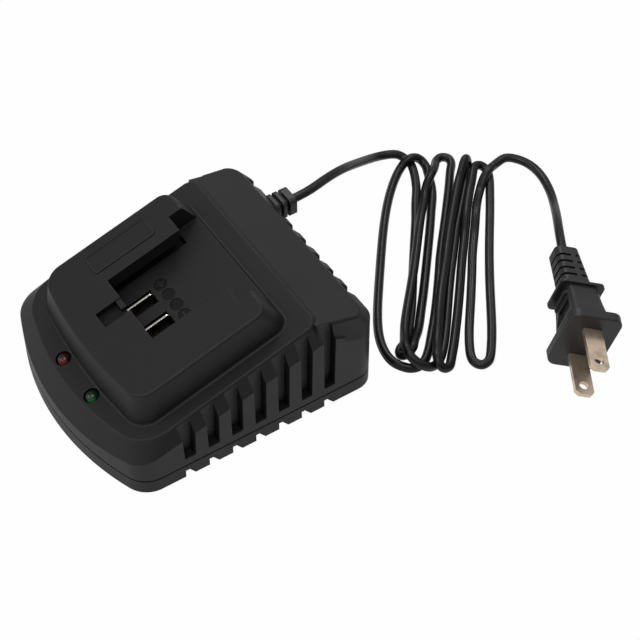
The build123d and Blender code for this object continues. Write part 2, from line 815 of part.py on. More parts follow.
# ---------------------------------------------------------------- parts on the board
# Transformer: a frame-shaped core whose middle leg carries the bobbin with its winding.
core_place = (3.0, 15.0)
core_width = 25.0
core_depth = 8.0
core_height = 18.0
core_leg = 7.0
core_side = 3.4
core_bar = 3.6
core_lift = 1.5
bobbin_gap = 0.15
winding_depth = 16.4
bobbin_flange = 1.0
bobbin_foot = 3.0

core_bottom = board_top + core_lift
window_width = (core_width - core_leg) / 2 - core_side
window_height = core_height - 2 * core_bar
winding_width = core_leg + 2 * (window_width - 0.4)

with BuildPart() as transformer_core:
    with BuildSketch(Plane.XZ.offset(-core_place[1] - core_depth / 2)):
        with Locations((core_place[0], core_bottom + core_height / 2)):
            Rectangle(core_width, core_height)
            with Locations(
                (-(core_leg + window_width) / 2, 0),
                ((core_leg + window_width) / 2, 0),
            ):
                Rectangle(window_width, window_height, mode=Mode.SUBTRACT)
    extrude(amount=core_depth)
    chamfer(transformer_core.edges().filter_by(Axis.Y).group_by(Axis.Z)[-1], 0.5)
transformer_core.part.label = "transformer_core"
export_step(transformer_core.part, "parts/transformer_core.step")

with BuildPart() as transformer_winding:
    window_bottom = core_bottom + core_bar + bobbin_gap
    window_top = core_bottom + core_height - core_bar - bobbin_gap
    with BuildSketch(Plane.XY.offset(window_bottom)):
        with Locations(core_place):
            RectangleRounded(winding_width, winding_depth, 2.0)
    extrude(amount=bobbin_flange)
    with BuildSketch(Plane.XY.offset(window_top)):
        with Locations(core_place):
            RectangleRounded(winding_width, winding_depth, 2.0)
    extrude(amount=-bobbin_flange)
    with BuildSketch(Plane.XY.offset(window_bottom)):
        with Locations(core_place):
            RectangleRounded(winding_width - 1.6, winding_depth - 1.6, 2.6)
    extrude(amount=window_top - window_bottom)
    # feet in front of and behind the core, down to the board
    foot_line = (winding_depth + core_depth) / 4 + bobbin_gap / 2
    with BuildSketch(Plane.XY.offset(board_top)):
        with Locations(core_place):
            with GridLocations(1, 2 * foot_line, 1, 2):
                Rectangle(winding_width, (winding_depth - core_depth) / 2 - bobbin_gap)
    extrude(amount=window_bottom - board_top)
    with BuildSketch(Plane.XY.offset(board_top + bobbin_foot)):
        with Locations(core_place):
            Rectangle(winding_width - 4.0, winding_depth + 1)
    extrude(amount=-bobbin_foot, mode=Mode.SUBTRACT)
    with BuildSketch(Plane.XY.offset(window_bottom)):
        with Locations(core_place):
            Rectangle(core_leg + 2 * bobbin_gap, core_depth + 2 * bobbin_gap)
    extrude(amount=window_top - window_bottom, mode=Mode.SUBTRACT)
transformer_winding.part.label = "transformer_winding"
export_step(transformer_winding.part, "parts/transformer_winding.step")


def can_capacitor(places, diameter, height):
    """Round capacitors that stand on the board, with a rolled groove and a scored top."""
    with BuildPart() as cans:
        with BuildSketch(Plane.XY.offset(board_top)):
            with Locations(*places):
                Circle(diameter / 2)
        extrude(amount=height)
        fillet(cans.edges().group_by(Axis.Z)[-1], 0.6)
        with BuildSketch(Plane.XY.offset(board_top + 1.6)):
            with Locations(*places):
                Circle(diameter / 2 + 1)
                Circle(diameter / 2 - 0.4, mode=Mode.SUBTRACT)
        extrude(amount=0.9, mode=Mode.SUBTRACT)
        with BuildSketch(Plane.XY.offset(board_top + height)):
            with Locations(*places):
                Rectangle(diameter * 0.6, 0.4)
                Rectangle(0.4, diameter * 0.6)
        extrude(amount=-0.25, mode=Mode.SUBTRACT)
    return cans


input_can_place = (19.5, 25.2)
input_can_diameter = 13.0
input_can_height = 20.0
output_can_x = 17.0
output_can_front = -18.5
output_can_rear = -9.0
output_can_diameter = 8.0
output_can_height = 11.0

input_capacitor = can_capacitor([input_can_place], input_can_diameter, input_can_height)
input_capacitor.part.label = "input_capacitor"
export_step(input_capacitor.part, "parts/input_capacitor.step")

output_capacitors = can_capacitor(
    [(output_can_x, output_can_rear), (output_can_x, output_can_front)], output_can_diameter, output_can_height
)
output_capacitors.part.label = "output_capacitors"
export_step(output_capacitors.part, "parts/output_capacitors.step")


def boxed_component(place, size, lift, leg_pitch, legs, radius):
    """A moulded component held over the board by its legs."""
    width, depth, height = size
    with BuildPart() as component:
        with BuildSketch(Plane.XY.offset(board_top + lift)):
            with Locations(place):
                Rectangle(width, depth)
        extrude(amount=height)
        fillet(component.edges().group_by(Axis.Z)[-1], radius)
        with BuildSketch(Plane.XY.offset(board_top)):
            with Locations(place):
                with GridLocations(leg_pitch[0], leg_pitch[1], legs[0], legs[1]):
                    Rectangle(0.6, 0.6)
        extrude(amount=lift + height / 2)
    return component


safety_capacitor = boxed_component((-13.6, 3.0), (12.0, 5.0, 9.0), 0.4, (10.0, 0), (2, 1), 0.5)
safety_capacitor.part.label = "safety_capacitor"
export_step(safety_capacitor.part, "parts/safety_capacitor.step")

bridge_rectifier = boxed_component((0.0, 29.6), (14.0, 3.6, 9.0), 3.0, (4.0, 0), (4, 1), 0.4)
bridge_rectifier.part.label = "bridge_rectifier"
export_step(bridge_rectifier.part, "parts/bridge_rectifier.step")

control_chip = boxed_component((-15.5, -3.6), (9.4, 6.4, 3.3), 0.6, (2.54, 5.6), (4, 2), 0.3)
control_chip.part.label = "control_chip"
export_step(control_chip.part, "parts/control_chip.step")

# Heat sink on the right, with the transistor's back against it.
sink_x = 22.2
sink_thickness = 1.8
sink_centre = 5.0
sink_length = 17.0
sink_height = 16.5
sink_fin = 3.4
sink_fin_thickness = 1.0
sink_fin_count = 5
transistor_thickness = 4.4
transistor_width = 10.0
transistor_lift = 3.1  # its case over the board
transistor_case_length = 9.0
transistor_tab = 1.3
transistor_tab_length = 12.9
transistor_hole = 3.2
transistor_hole_height = 14.0
transistor_lead_from = 1.6
transistor_lead_thickness = 0.6
transistor_lead_width = 0.8
transistor_lead_grip = 0.5

with BuildPart() as heat_sink:
    with BuildSketch(Plane.XY.offset(board_top)):
        with Locations((sink_x, sink_centre)):
            Rectangle(sink_thickness, sink_length)
        with Locations((sink_x + sink_fin / 2, sink_centre)):
            with GridLocations(1, (sink_length - sink_fin_thickness) / (sink_fin_count - 1), 1, sink_fin_count):
                Rectangle(sink_fin, sink_fin_thickness)
    extrude(amount=sink_height)
heat_sink.part.label = "heat_sink"
export_step(heat_sink.part, "parts/heat_sink.step")

with BuildPart() as power_transistor:
    back = Plane(
        origin=(sink_x - sink_thickness / 2, sink_centre, board_top), x_dir=(0, 1, 0), z_dir=(-1, 0, 0)
    )
    tab_middle = transistor_lift + transistor_tab_length / 2
    case_middle = transistor_lift + transistor_case_length / 2
    with BuildSketch(back):
        with Locations((0, -tab_middle)):
            Rectangle(transistor_width, transistor_tab_length)
        with Locations((0, -transistor_hole_height)):
            Circle(transistor_hole / 2, mode=Mode.SUBTRACT)
    extrude(amount=transistor_tab)
    with BuildSketch(back.offset(transistor_tab)):
        with Locations((0, -case_middle)):
            Rectangle(transistor_width, transistor_case_length)
    extrude(amount=transistor_thickness - transistor_tab)
    with BuildSketch(back.offset(transistor_lead_from)):
        with Locations((0, -(transistor_lift + transistor_lead_grip) / 2)):
            with GridLocations(lead_pitch, 1, 3, 1):
                Rectangle(transistor_lead_width, transistor_lift + transistor_lead_grip)
    extrude(amount=transistor_lead_thickness)
power_transistor.part.label = "power_transistor"
export_step(power_transistor.part, "parts/power_transistor.step")

fuse_place = (-20.8, 16.0)
fuse_diameter = 5.2
fuse_length = 20.0
fuse_cap = 5.0
with BuildPart() as line_fuse:
    fuse_axis = board_top + fuse_diameter / 2 + 0.8
    with BuildSketch(Plane.XZ.offset(-fuse_place[1] - fuse_length / 2)):
        with Locations((fuse_place[0], fuse_axis)):
            Circle(fuse_diameter / 2)
    extrude(amount=fuse_length)
    with BuildSketch(Plane.XZ.offset(-fuse_place[1] - fuse_length / 2 + fuse_cap)):
        with Locations((fuse_place[0], fuse_axis)):
            Circle(fuse_diameter / 2 + 1)
            Circle(fuse_diameter / 2 - 0.3, mode=Mode.SUBTRACT)
    extrude(amount=fuse_length - 2 * fuse_cap, mode=Mode.SUBTRACT)
    with BuildSketch(Plane.XY.offset(board_top)):
        with Locations(fuse_place):
            with GridLocations(1, fuse_length - fuse_cap, 1, 2):
                Rectangle(3.4, 2.0)
    extrude(amount=fuse_axis - board_top)
line_fuse.part.label = "line_fuse"
export_step(line_fuse.part, "parts/line_fuse.step")

choke_place = (-13.6, 20.5)
choke_diameter = 7.6
choke_height = 12.0
with BuildPart() as line_choke:
    with BuildSketch(Plane.XY.offset(board_top)):
        with Locations(choke_place):
            Circle(choke_diameter / 2)
    extrude(amount=choke_height)
    with BuildSketch(Plane.XY.offset(board_top + 1.6)):
        with Locations(choke_place):
            Circle(choke_diameter / 2 + 1)
            Circle(choke_diameter / 2 - 0.7, mode=Mode.SUBTRACT)
    extrude(amount=choke_height - 3.2, mode=Mode.SUBTRACT)
line_choke.part.label = "line_choke"
export_step(line_choke.part, "parts/line_choke.step")

resistor_places = ((-18.0, -12.0), (-18.0, -16.5), (-18.0, -21.0))
resistor_diameter = 2.4
resistor_length = 6.4
resistor_lead = 0.6
resistor_span = 10.2
with BuildPart() as resistors:
    resistor_axis = board_top + resistor_diameter / 2
    for x, y in resistor_places:
        with BuildSketch(Plane.YZ.offset(x - resistor_length / 2)):
            with Locations((y, resistor_axis)):
                Circle(resistor_diameter / 2)
        extrude(amount=resistor_length)
        with BuildSketch(Plane.XY.offset(resistor_axis - resistor_lead / 2)):
            with Locations((x, y)):
                Rectangle(resistor_span, resistor_lead)
        extrude(amount=resistor_lead)
        with BuildSketch(Plane.XY.offset(board_top)):
            with Locations((x, y)):
                with GridLocations(resistor_span - resistor_lead, 1, 2, 1):
                    Rectangle(resistor_lead, resistor_lead)
        extrude(amount=resistor_axis - board_top)
resistors.part.label = "resistors"
export_step(resistors.part, "parts/resistors.step")

# ---------------------------------------------------------------- grommet, clamp and mains wires
with BuildPart() as cord_grommet:
    inner_face = Plane.XZ.offset(-inner_rear)
    outer_face = Plane.XZ.offset(-housing_rear)
    with BuildSketch(inner_face):
        with Locations((grommet_x, grommet_z)):
            RectangleRounded(grommet_inner_flange, grommet_inner_flange, 1.5)
    extrude(amount=grommet_inner_thickness)
    with BuildSketch(inner_face):
        with Locations((grommet_x, grommet_z)):
            RectangleRounded(grommet_neck, grommet_neck, 1.2)
    extrude(amount=-rear_wall)
    with BuildSketch(outer_face):
        with Locations((grommet_x, grommet_z)):
            RectangleRounded(grommet_stem, grommet_stem, 1.4)
    extrude(amount=-grommet_reach)
    for index in range(3):
        thickness = grommet_end if index == 0 else grommet_rib
        far = grommet_reach - index * grommet_pitch - (0 if index == 0 else grommet_end - grommet_rib)
        with BuildSketch(outer_face.offset(-far)):
            with Locations((grommet_x, grommet_z)):
                RectangleRounded(grommet_flange, grommet_flange - 0.6, 1.8)
        extrude(amount=thickness)
cord_grommet.part.label = "cord_grommet"
export_step(cord_grommet.part, "parts/cord_grommet.step")

wire_start = inner_rear - grommet_inner_thickness
for name, side, landing in (("live_wire", -1, 28.0), ("neutral_wire", 1, 29.4)):
    wire_x = grommet_x + side * wire_spacing / 2
    with BuildPart() as wire:
        with BuildLine() as wire_path:
            FilletPolyline(
                (wire_x, wire_start, grommet_z),
                (wire_x, landing + 3.0, grommet_z),
                (wire_x, landing, grommet_z - 6.0),
                (wire_x, landing, board_top),
                radius=2.5,
            )
        with BuildSketch(Plane(origin=wire_path.line @ 0, z_dir=wire_path.line % 0)):
            Circle(wire_diameter / 2)
        sweep()
    wire.part.label = name
    export_step(wire.part, "parts/" + name + ".step")

clamp_bottom = grommet_z + wire_diameter / 2
with BuildPart() as cord_clamp:
    with BuildSketch(Plane.XY.offset(clamp_bottom)):
        with Locations((grommet_x, saddle_y)):
            RectangleRounded(saddle_width, saddle_thickness, 1.2)
            with GridLocations(clamp_screw_spacing, 1, 2, 1):
                Circle(clamp_screw_shank / 2 + fit / 2, mode=Mode.SUBTRACT)
    extrude(amount=clamp_height)
cord_clamp.part.label = "cord_clamp"
export_step(cord_clamp.part, "parts/cord_clamp.step")

with BuildPart() as clamp_screws:
    with BuildSketch(Plane.XY.offset(clamp_bottom + clamp_height)):
        with Locations((grommet_x, saddle_y)):
            with GridLocations(clamp_screw_spacing, 1, 2, 1):
                Circle(clamp_screw_head / 2)
    extrude(amount=clamp_screw_head_height)
    with BuildSketch(Plane.XY.offset(clamp_bottom + clamp_height)):
        with Locations((grommet_x, saddle_y)):
            with GridLocations(clamp_screw_spacing, 1, 2, 1):
                Circle(clamp_screw_shank / 2)
    extrude(amount=-clamp_screw_length)
    with BuildSketch(Plane.XY.offset(clamp_bottom + clamp_height + clamp_screw_head_height)):
        with Locations((grommet_x, saddle_y)):
            with GridLocations(clamp_screw_spacing, 1, 2, 1):
                Rectangle(clamp_screw_slot, clamp_screw_slot_width)
    extrude(amount=-clamp_screw_slot_depth, mode=Mode.SUBTRACT)
clamp_screws.part.label = "clamp_screws"
export_step(clamp_screws.part, "parts/clamp_screws.step")

# ---------------------------------------------------------------- plug
# The plug lies on the lowest corner of its front plate, rolled about its own axis.
heading = math.radians(plug_heading)
roll = math.radians(plug_roll)
plug_z = (
    (plug_height / 2 - plug_radius) * math.cos(roll)
    + (plug_width / 2 - plug_radius) * math.sin(roll)
    + plug_radius
)
plug_face = Plane(
    origin=(plug_x, plug_y, plug_z),
    x_dir=(-math.sin(heading) * math.cos(roll), math.cos(heading) * math.cos(roll), -math.sin(roll)),
    z_dir=(math.cos(heading), math.sin(heading), 0),
)

with BuildPart() as plug_body_piece:
    with BuildSketch(plug_face.offset(-plug_rim)):
        RectangleRounded(plug_width, plug_height, plug_radius)
    extrude(amount=plug_rim)
    fillet(edges_on(plug_body_piece.part, plug_face), plug_edge)
    for behind, width, height in grip_sections:
        with BuildSketch(plug_face.offset(-behind)):
            RectangleRounded(width, height, grip_radius)
    loft()
    with BuildSketch(plug_face.offset(-plug_body)):
        RectangleRounded(grip_lip_width, grip_lip_height, grip_radius)
    extrude(amount=grip_lip_thickness)
    with BuildSketch(plug_face.offset(-grip_rib_behind - grip_lip_thickness)):
        RectangleRounded(grip_rib_width, grip_rib_height, grip_radius)
    extrude(amount=grip_lip_thickness)
    for side in (1, -1):
        with BuildSketch(Plane(plug_face.origin, x_dir=plug_face.y_dir, z_dir=plug_face.x_dir)):
            with BuildLine():
                Polyline(*[(height, -behind) for behind, height in grip_pocket_outline], close=True)
            make_face()
        extrude(amount=side * plug_width / 2, mode=Mode.SUBTRACT)
    pocket_front, pocket_rear = grip_pocket_outline[0][0], grip_pocket_outline[-1][0]
    with BuildSketch(plug_face.offset(-pocket_rear - grip_web)):
        Rectangle(2 * grip_pocket_floor, grip_core_height)
    extrude(amount=pocket_rear - pocket_front + 2 * grip_web)
    fillet(edges_on(plug_body_piece.part, plug_face.offset(-plug_body)), grip_lip_edge)
plug_body_piece.part.label = "plug_body"
export_step(plug_body_piece.part, "parts/plug_body.step")

# The strain relief leans towards the cord. Its grooves wrap round both sides and leave a web between.
relief_start = plug_face.offset(-plug_body)
relief_end = relief_start.offset(-relief_length).origin + plug_face.x_dir * relief_lean
with BuildPart() as plug_strain_relief:
    with BuildSketch(relief_start):
        RectangleRounded(*relief_base, relief_radius)
    with BuildSketch(Plane(relief_end, x_dir=plug_face.x_dir, z_dir=plug_face.z_dir)):
        RectangleRounded(*relief_tip, relief_radius)
    loft()
    for index in range(relief_grooves):
        from_tip = relief_groove_first + relief_groove_pitch * index
        share = 1 - from_tip / relief_length
        width, height = (
            base + (tip - base) * share - 2 * relief_groove_depth for base, tip in zip(relief_base, relief_tip)
        )
        lean = relief_lean * share
        with BuildSketch(relief_start.offset(-relief_length + from_tip)):
            for low, high in ((lean - width, lean + relief_web[0]), (lean + relief_web[1], lean + width)):
                with Locations(((low + high) / 2, 0)):
                    Rectangle(high - low, 2 * height)
            with Locations((lean, 0)):
                RectangleRounded(width, height, relief_radius - relief_groove_depth / 2, mode=Mode.SUBTRACT)
        extrude(amount=relief_groove_width, mode=Mode.SUBTRACT)
plug_strain_relief.part.label = "plug_strain_relief"
export_step(plug_strain_relief.part, "parts/plug_strain_relief.step")

for name, side in (("plug_blade_live", 1), ("plug_blade_neutral", -1)):
    flat = Plane(
        origin=plug_face.from_local_coords((0, side * blade_spacing / 2 - blade_thickness / 2, 0)),
        x_dir=plug_face.x_dir,
        z_dir=plug_face.y_dir,
    )
    with BuildPart() as blade:
        with BuildSketch(flat) as blade_profile:
            with Locations((0, -blade_length / 2)):
                Rectangle(blade_width, blade_length)
            chamfer(blade_profile.vertices().group_by(Axis.Y)[0], 1.2)
            with Locations((0, blade_hole_inset - blade_length)):
                Circle(blade_hole / 2, mode=Mode.SUBTRACT)
        extrude(amount=blade_thickness)
    blade.part.label = name
    export_step(blade.part, "parts/" + name + ".step")

# ---------------------------------------------------------------- cord
# The lead runs from the grommet down to the coil, which lies on the surface, and the tail from the
# coil to the plug. Both meet the coil square to their own direction.
cord_floor = 3.0  # height at which they reach the coil
relief_run = 8.5
lead_route = [
    (grommet_x, housing_rear + grommet_reach, grommet_z),
    (grommet_x, 61.6, grommet_z),
    (-27.0, 72.4, 22.4),
    (-32.0, 82.4, 17.6),
    (-37.83, 93.5, 10.1),
    (-42.85, 105.01, cord_floor),
    (-40.45, 111.22, cord_floor),
]
tail_route = [
    (-16.39, 136.87, cord_floor),
    (-17.7, 143.69, cord_floor),
    (-11.88, 148.6, 2.2),
    (-4.67, 149.4, 1.7),
    (4.35, 146.69, 2.0),
    (12.47, 141.79, 4.6),
    (20.48, 136.18, 9.0),
    tuple(relief_end - plug_face.z_dir * relief_run),
    tuple(relief_end),
]
coil_height = 10.0
coil_gate = 2.4  # half the width of the flat that a tube meets


def arc_radii(route):
    """The radius at each corner of a route: 0.45 of the shorter run, over the tangent of half the turn."""
    points = [Vector(*point) for point in route]
    radii = []
    for before, corner, after in zip(points, points[1:], points[2:]):
        arriving, leaving = corner - before, after - corner
        half_turn = math.radians(arriving.get_angle(leaving)) / 2
        radii.append(0.45 * min(arriving.length, leaving.length) / math.tan(half_turn))
    return radii


def cord_tube(route):
    """Round tube along straight runs joined by tangent arcs."""
    radii = arc_radii(route)
    with BuildPart() as tube:
        with BuildLine() as path:
            FilletPolyline(*route, radius=radii)
        with BuildSketch(Plane(origin=path.line @ 0, z_dir=path.line % 0)):
            Circle(cord_diameter / 2)
        sweep()
    section = math.pi * cord_diameter**2 / 4
    print("radii", [round(radius, 1) for radius in radii])
    length = sum(edge.length for edge in path.edges())
    print("length", round(length, 1), "volume", round(tube.part.volume, 1))
    print("section times length", round(section * length, 1))
    return tube


def gate(end, run):
    """The two ends of a flat in plan, square to a tube's run, the right-hand one first."""
    ahead = Vector(run.X, run.Y).normalized()
    across = Vector(ahead.Y, -ahead.X) * coil_gate
    return [(end[0] + across.X, end[1] + across.Y), (end[0] - across.X, end[1] - across.Y)]


cord_lead = cord_tube(lead_route)
cord_lead.part.label = "cord_lead"
export_step(cord_lead.part, "parts/cord_lead.step")

cord_tail = cord_tube(tail_route)
cord_tail.part.label = "cord_tail"
export_step(cord_tail.part, "parts/cord_tail.step")

# Outline of the loosely fanned loops, from the lead's gate round to the tail's and back.
lead_run = Vector(*lead_route[-1]) - Vector(*lead_route[-2])
tail_run = Vector(*tail_route[1]) - Vector(*tail_route[0])
coil_near_side = [
    (-29.42, 97.79),
    (-16.39, 85.56),
    (2.25, 70.93),
    (17.28, 60.31),
    (26.3, 54.7),
    (35.32, 52.09),
    (42.73, 53.1),
    (51.75, 62.11),
    (59.97, 77.15),
    (56.56, 86.97),
    (40.93, 97.99),
    (19.68, 112.22),
    (-1.16, 128.66),
]
coil_far_end = [(-26.82, 136.07), (-34.23, 129.06), (-40.04, 120.04)]
coil_outline = (
    gate(lead_route[-1], lead_run)[:1]
    + coil_near_side
    + gate(tail_route[0], tail_run)
    + coil_far_end
    + gate(lead_route[-1], lead_run)[1:]
)
with BuildPart() as cord_coil:
    with BuildSketch() as coil_plan:
        with BuildLine():
            Polyline(*coil_outline, close=True)
        make_face()
    extrude(amount=coil_height)
cord_coil.part.label = "cord_coil"
export_step(cord_coil.part, "parts/cord_coil.step")
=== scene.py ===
"""Battery charger for slide-in power tool packs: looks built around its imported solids."""

import logging
import math
from abc import ABC, abstractmethod
from dataclasses import dataclass, field
from enum import Enum
from typing import Iterable, Sequence

import bmesh
import bpy
import numpy as np
from mathutils import Matrix, Vector


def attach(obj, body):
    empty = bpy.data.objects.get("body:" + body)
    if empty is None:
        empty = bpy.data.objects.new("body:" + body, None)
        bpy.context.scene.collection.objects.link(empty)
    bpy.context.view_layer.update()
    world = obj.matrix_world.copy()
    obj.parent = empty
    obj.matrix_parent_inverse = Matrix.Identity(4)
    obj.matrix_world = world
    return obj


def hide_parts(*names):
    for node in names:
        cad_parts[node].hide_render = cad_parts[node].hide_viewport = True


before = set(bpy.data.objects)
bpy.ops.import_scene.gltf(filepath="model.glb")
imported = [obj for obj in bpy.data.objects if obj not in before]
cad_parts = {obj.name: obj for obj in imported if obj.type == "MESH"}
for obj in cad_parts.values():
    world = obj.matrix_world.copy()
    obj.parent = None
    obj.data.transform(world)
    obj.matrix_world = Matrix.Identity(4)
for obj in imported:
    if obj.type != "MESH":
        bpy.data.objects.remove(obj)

log = logging.getLogger("charger")
MM = 0.001
BODY = "root"

# Sizes that the housing's source gives, in millimetres.
DECK_HEIGHT = 30.26
DECK_SLOPE = 0.294
DOCK_RISE = 11.48
CHANNEL_DEPTH = 8.9

# The cord's diameter in millimetres.
CORD_DIAMETER = 3.2

# The camera's place, in millimetres. The cord's turns are laid along its lines of sight.
CAMERA_PLACE = (354.0, -178.1, 469.7)

WHITE = (1.0, 1.0, 1.0, 1.0)
GRAIN_RANGE = (0.3, 0.7)  # the grain's tones between which a colour goes from dark to light
SMOOTH_ANGLE = 35.0  # faces that meet at less than this, in degrees, are shaded as one surface
TINY = 1e-6  # keeps a division by a length from failing

Colour = tuple[float, float, float]
Point = tuple[float, float, float]
Range = tuple[float, float]


def slope_frame(height: float, slope: float, x: float = 0.0, y: float = 0.0) -> Matrix:
    """Gives a frame that lies on a sloping plane, with its y axis up the slope.

    Args:
        height: The plane's height over the origin, in millimetres.
        slope: Its rise per millimetre towards the rear.
        x: Where the frame's origin is in plan, in millimetres.
        y: The same, towards the rear.

    Returns:
        The frame as a matrix, in metres.
    """
    tilt = Matrix.Rotation(math.atan(slope), 4, "X")
    return Matrix.Translation(Vector((x, y, height + slope * y)) * MM) @ tilt


def shade(colour: Colour, share: float, lift: float = 0.0) -> Colour:
    """Makes a colour darker or lighter.

    Args:
        colour: The colour.
        share: What each of its values is multiplied by.
        lift: What is then added to each.

    Returns:
        The new colour.
    """
    return tuple(share * value + lift for value in colour)


def run_along(line: np.ndarray) -> np.ndarray:
    """Measures a line.

    Args:
        line: Its points.

    Returns:
        How far along the line each point is.
    """
    return np.concatenate([[0], np.cumsum(np.linalg.norm(np.diff(line, axis=0), axis=1))])


def points_at(places: np.ndarray, run: np.ndarray, line: np.ndarray) -> np.ndarray:
    """Gives new points on a line.

    Args:
        places: How far along the line the new points are.
        run: How far along it its own points are.
        line: Its own points.

    Returns:
        The new points.
    """
    return np.column_stack([np.interp(places, run, line[:, axis]) for axis in range(3)])


class Graph:
    """Adds nodes to a node tree and joins them."""

    def __init__(self, tree: bpy.types.NodeTree) -> None:
        """Starts with an empty tree.

        Args:
            tree: The tree that the nodes go into.
        """
        self.tree = tree
        tree.nodes.clear()

    def feed(self, socket: bpy.types.NodeSocket, value: object) -> None:
        """Sets an input's value, or joins the input to what feeds it.

        Args:
            socket: The input.
            value: The value, or the socket that feeds it.
        """
        if isinstance(value, bpy.types.NodeSocket):
            self.tree.links.new(value, socket)
        else:
            socket.default_value = value

    def add(self, kind: str, inputs: dict | None = None, **settings: object) -> bpy.types.Node:
        """Adds a node.

        Args:
            kind: The node's type, without its ShaderNode prefix.
            inputs: What each input holds: a value, or the socket that feeds it.
            settings: The node's own properties.

        Returns:
            The node.
        """
        name = kind if kind.startswith("Node") else "ShaderNode" + kind
        node = self.tree.nodes.new(name)
        for key, value in settings.items():
            setattr(node, key, value)
        for key, value in (inputs or {}).items():
            self.feed(node.inputs[key], value)
        return node

    def group(self, group: bpy.types.NodeTree, **values: object) -> bpy.types.Node:
        """Adds a node group.

        Args:
            group: The group's tree.
            values: What its inputs hold, by their names in small letters.

        Returns:
            The node.
        """
        inputs = {key.capitalize(): value for key, value in values.items()}
        return self.add("Group", inputs, node_tree=group)

    def maths(self, operation: str, *values: object, clamp: bool = False) -> bpy.types.NodeSocket:
        """Adds a Math node.

        Args:
            operation: What it works out.
            values: What its inputs hold, in their order.
            clamp: Whether the result is kept between 0 and 1.

        Returns:
            The result.
        """
        node = self.add("Math", dict(enumerate(values)), operation=operation, use_clamp=clamp)
        return node.outputs[0]

    def dot(self, one: object, two: object) -> bpy.types.NodeSocket:
        """Adds a node that compares two directions.

        Args:
            one: The first, a value or a socket.
            two: The second.

        Returns:
            The cosine of the angle between them.
        """
        return self.add("VectorMath", {0: one, 1: two}, operation="DOT_PRODUCT").outputs["Value"]

    def ramp(self, value: bpy.types.NodeSocket, low: float, high: float) -> bpy.types.NodeSocket:
        """Maps a range of values smoothly onto 0 to 1.

        Args:
            value: What is mapped.
            low: The value that becomes 0.
            high: The value that becomes 1.

        Returns:
            The mapped value.
        """
        inputs = {"Value": value, "From Min": low, "From Max": high}
        return self.add("MapRange", inputs, interpolation_type="SMOOTHSTEP").outputs["Result"]

    def tint(self, share: object, one: object, two: object) -> bpy.types.NodeSocket:
        """Mixes two colours.

        Args:
            share: How much of the second there is.
            one: The first colour, a value or a socket.
            two: The second.

        Returns:
            The mixed colour.
        """
        node = self.add("Mix", data_type="RGBA")
        sockets = [socket for socket in node.inputs if socket.enabled]
        for socket, value in zip(sockets, (share, one, two)):
            plain = socket.type == "RGBA" and not isinstance(value, bpy.types.NodeSocket)
            self.feed(socket, (*value, 1.0) if plain else value)
        return [socket for socket in node.outputs if socket.enabled][0]


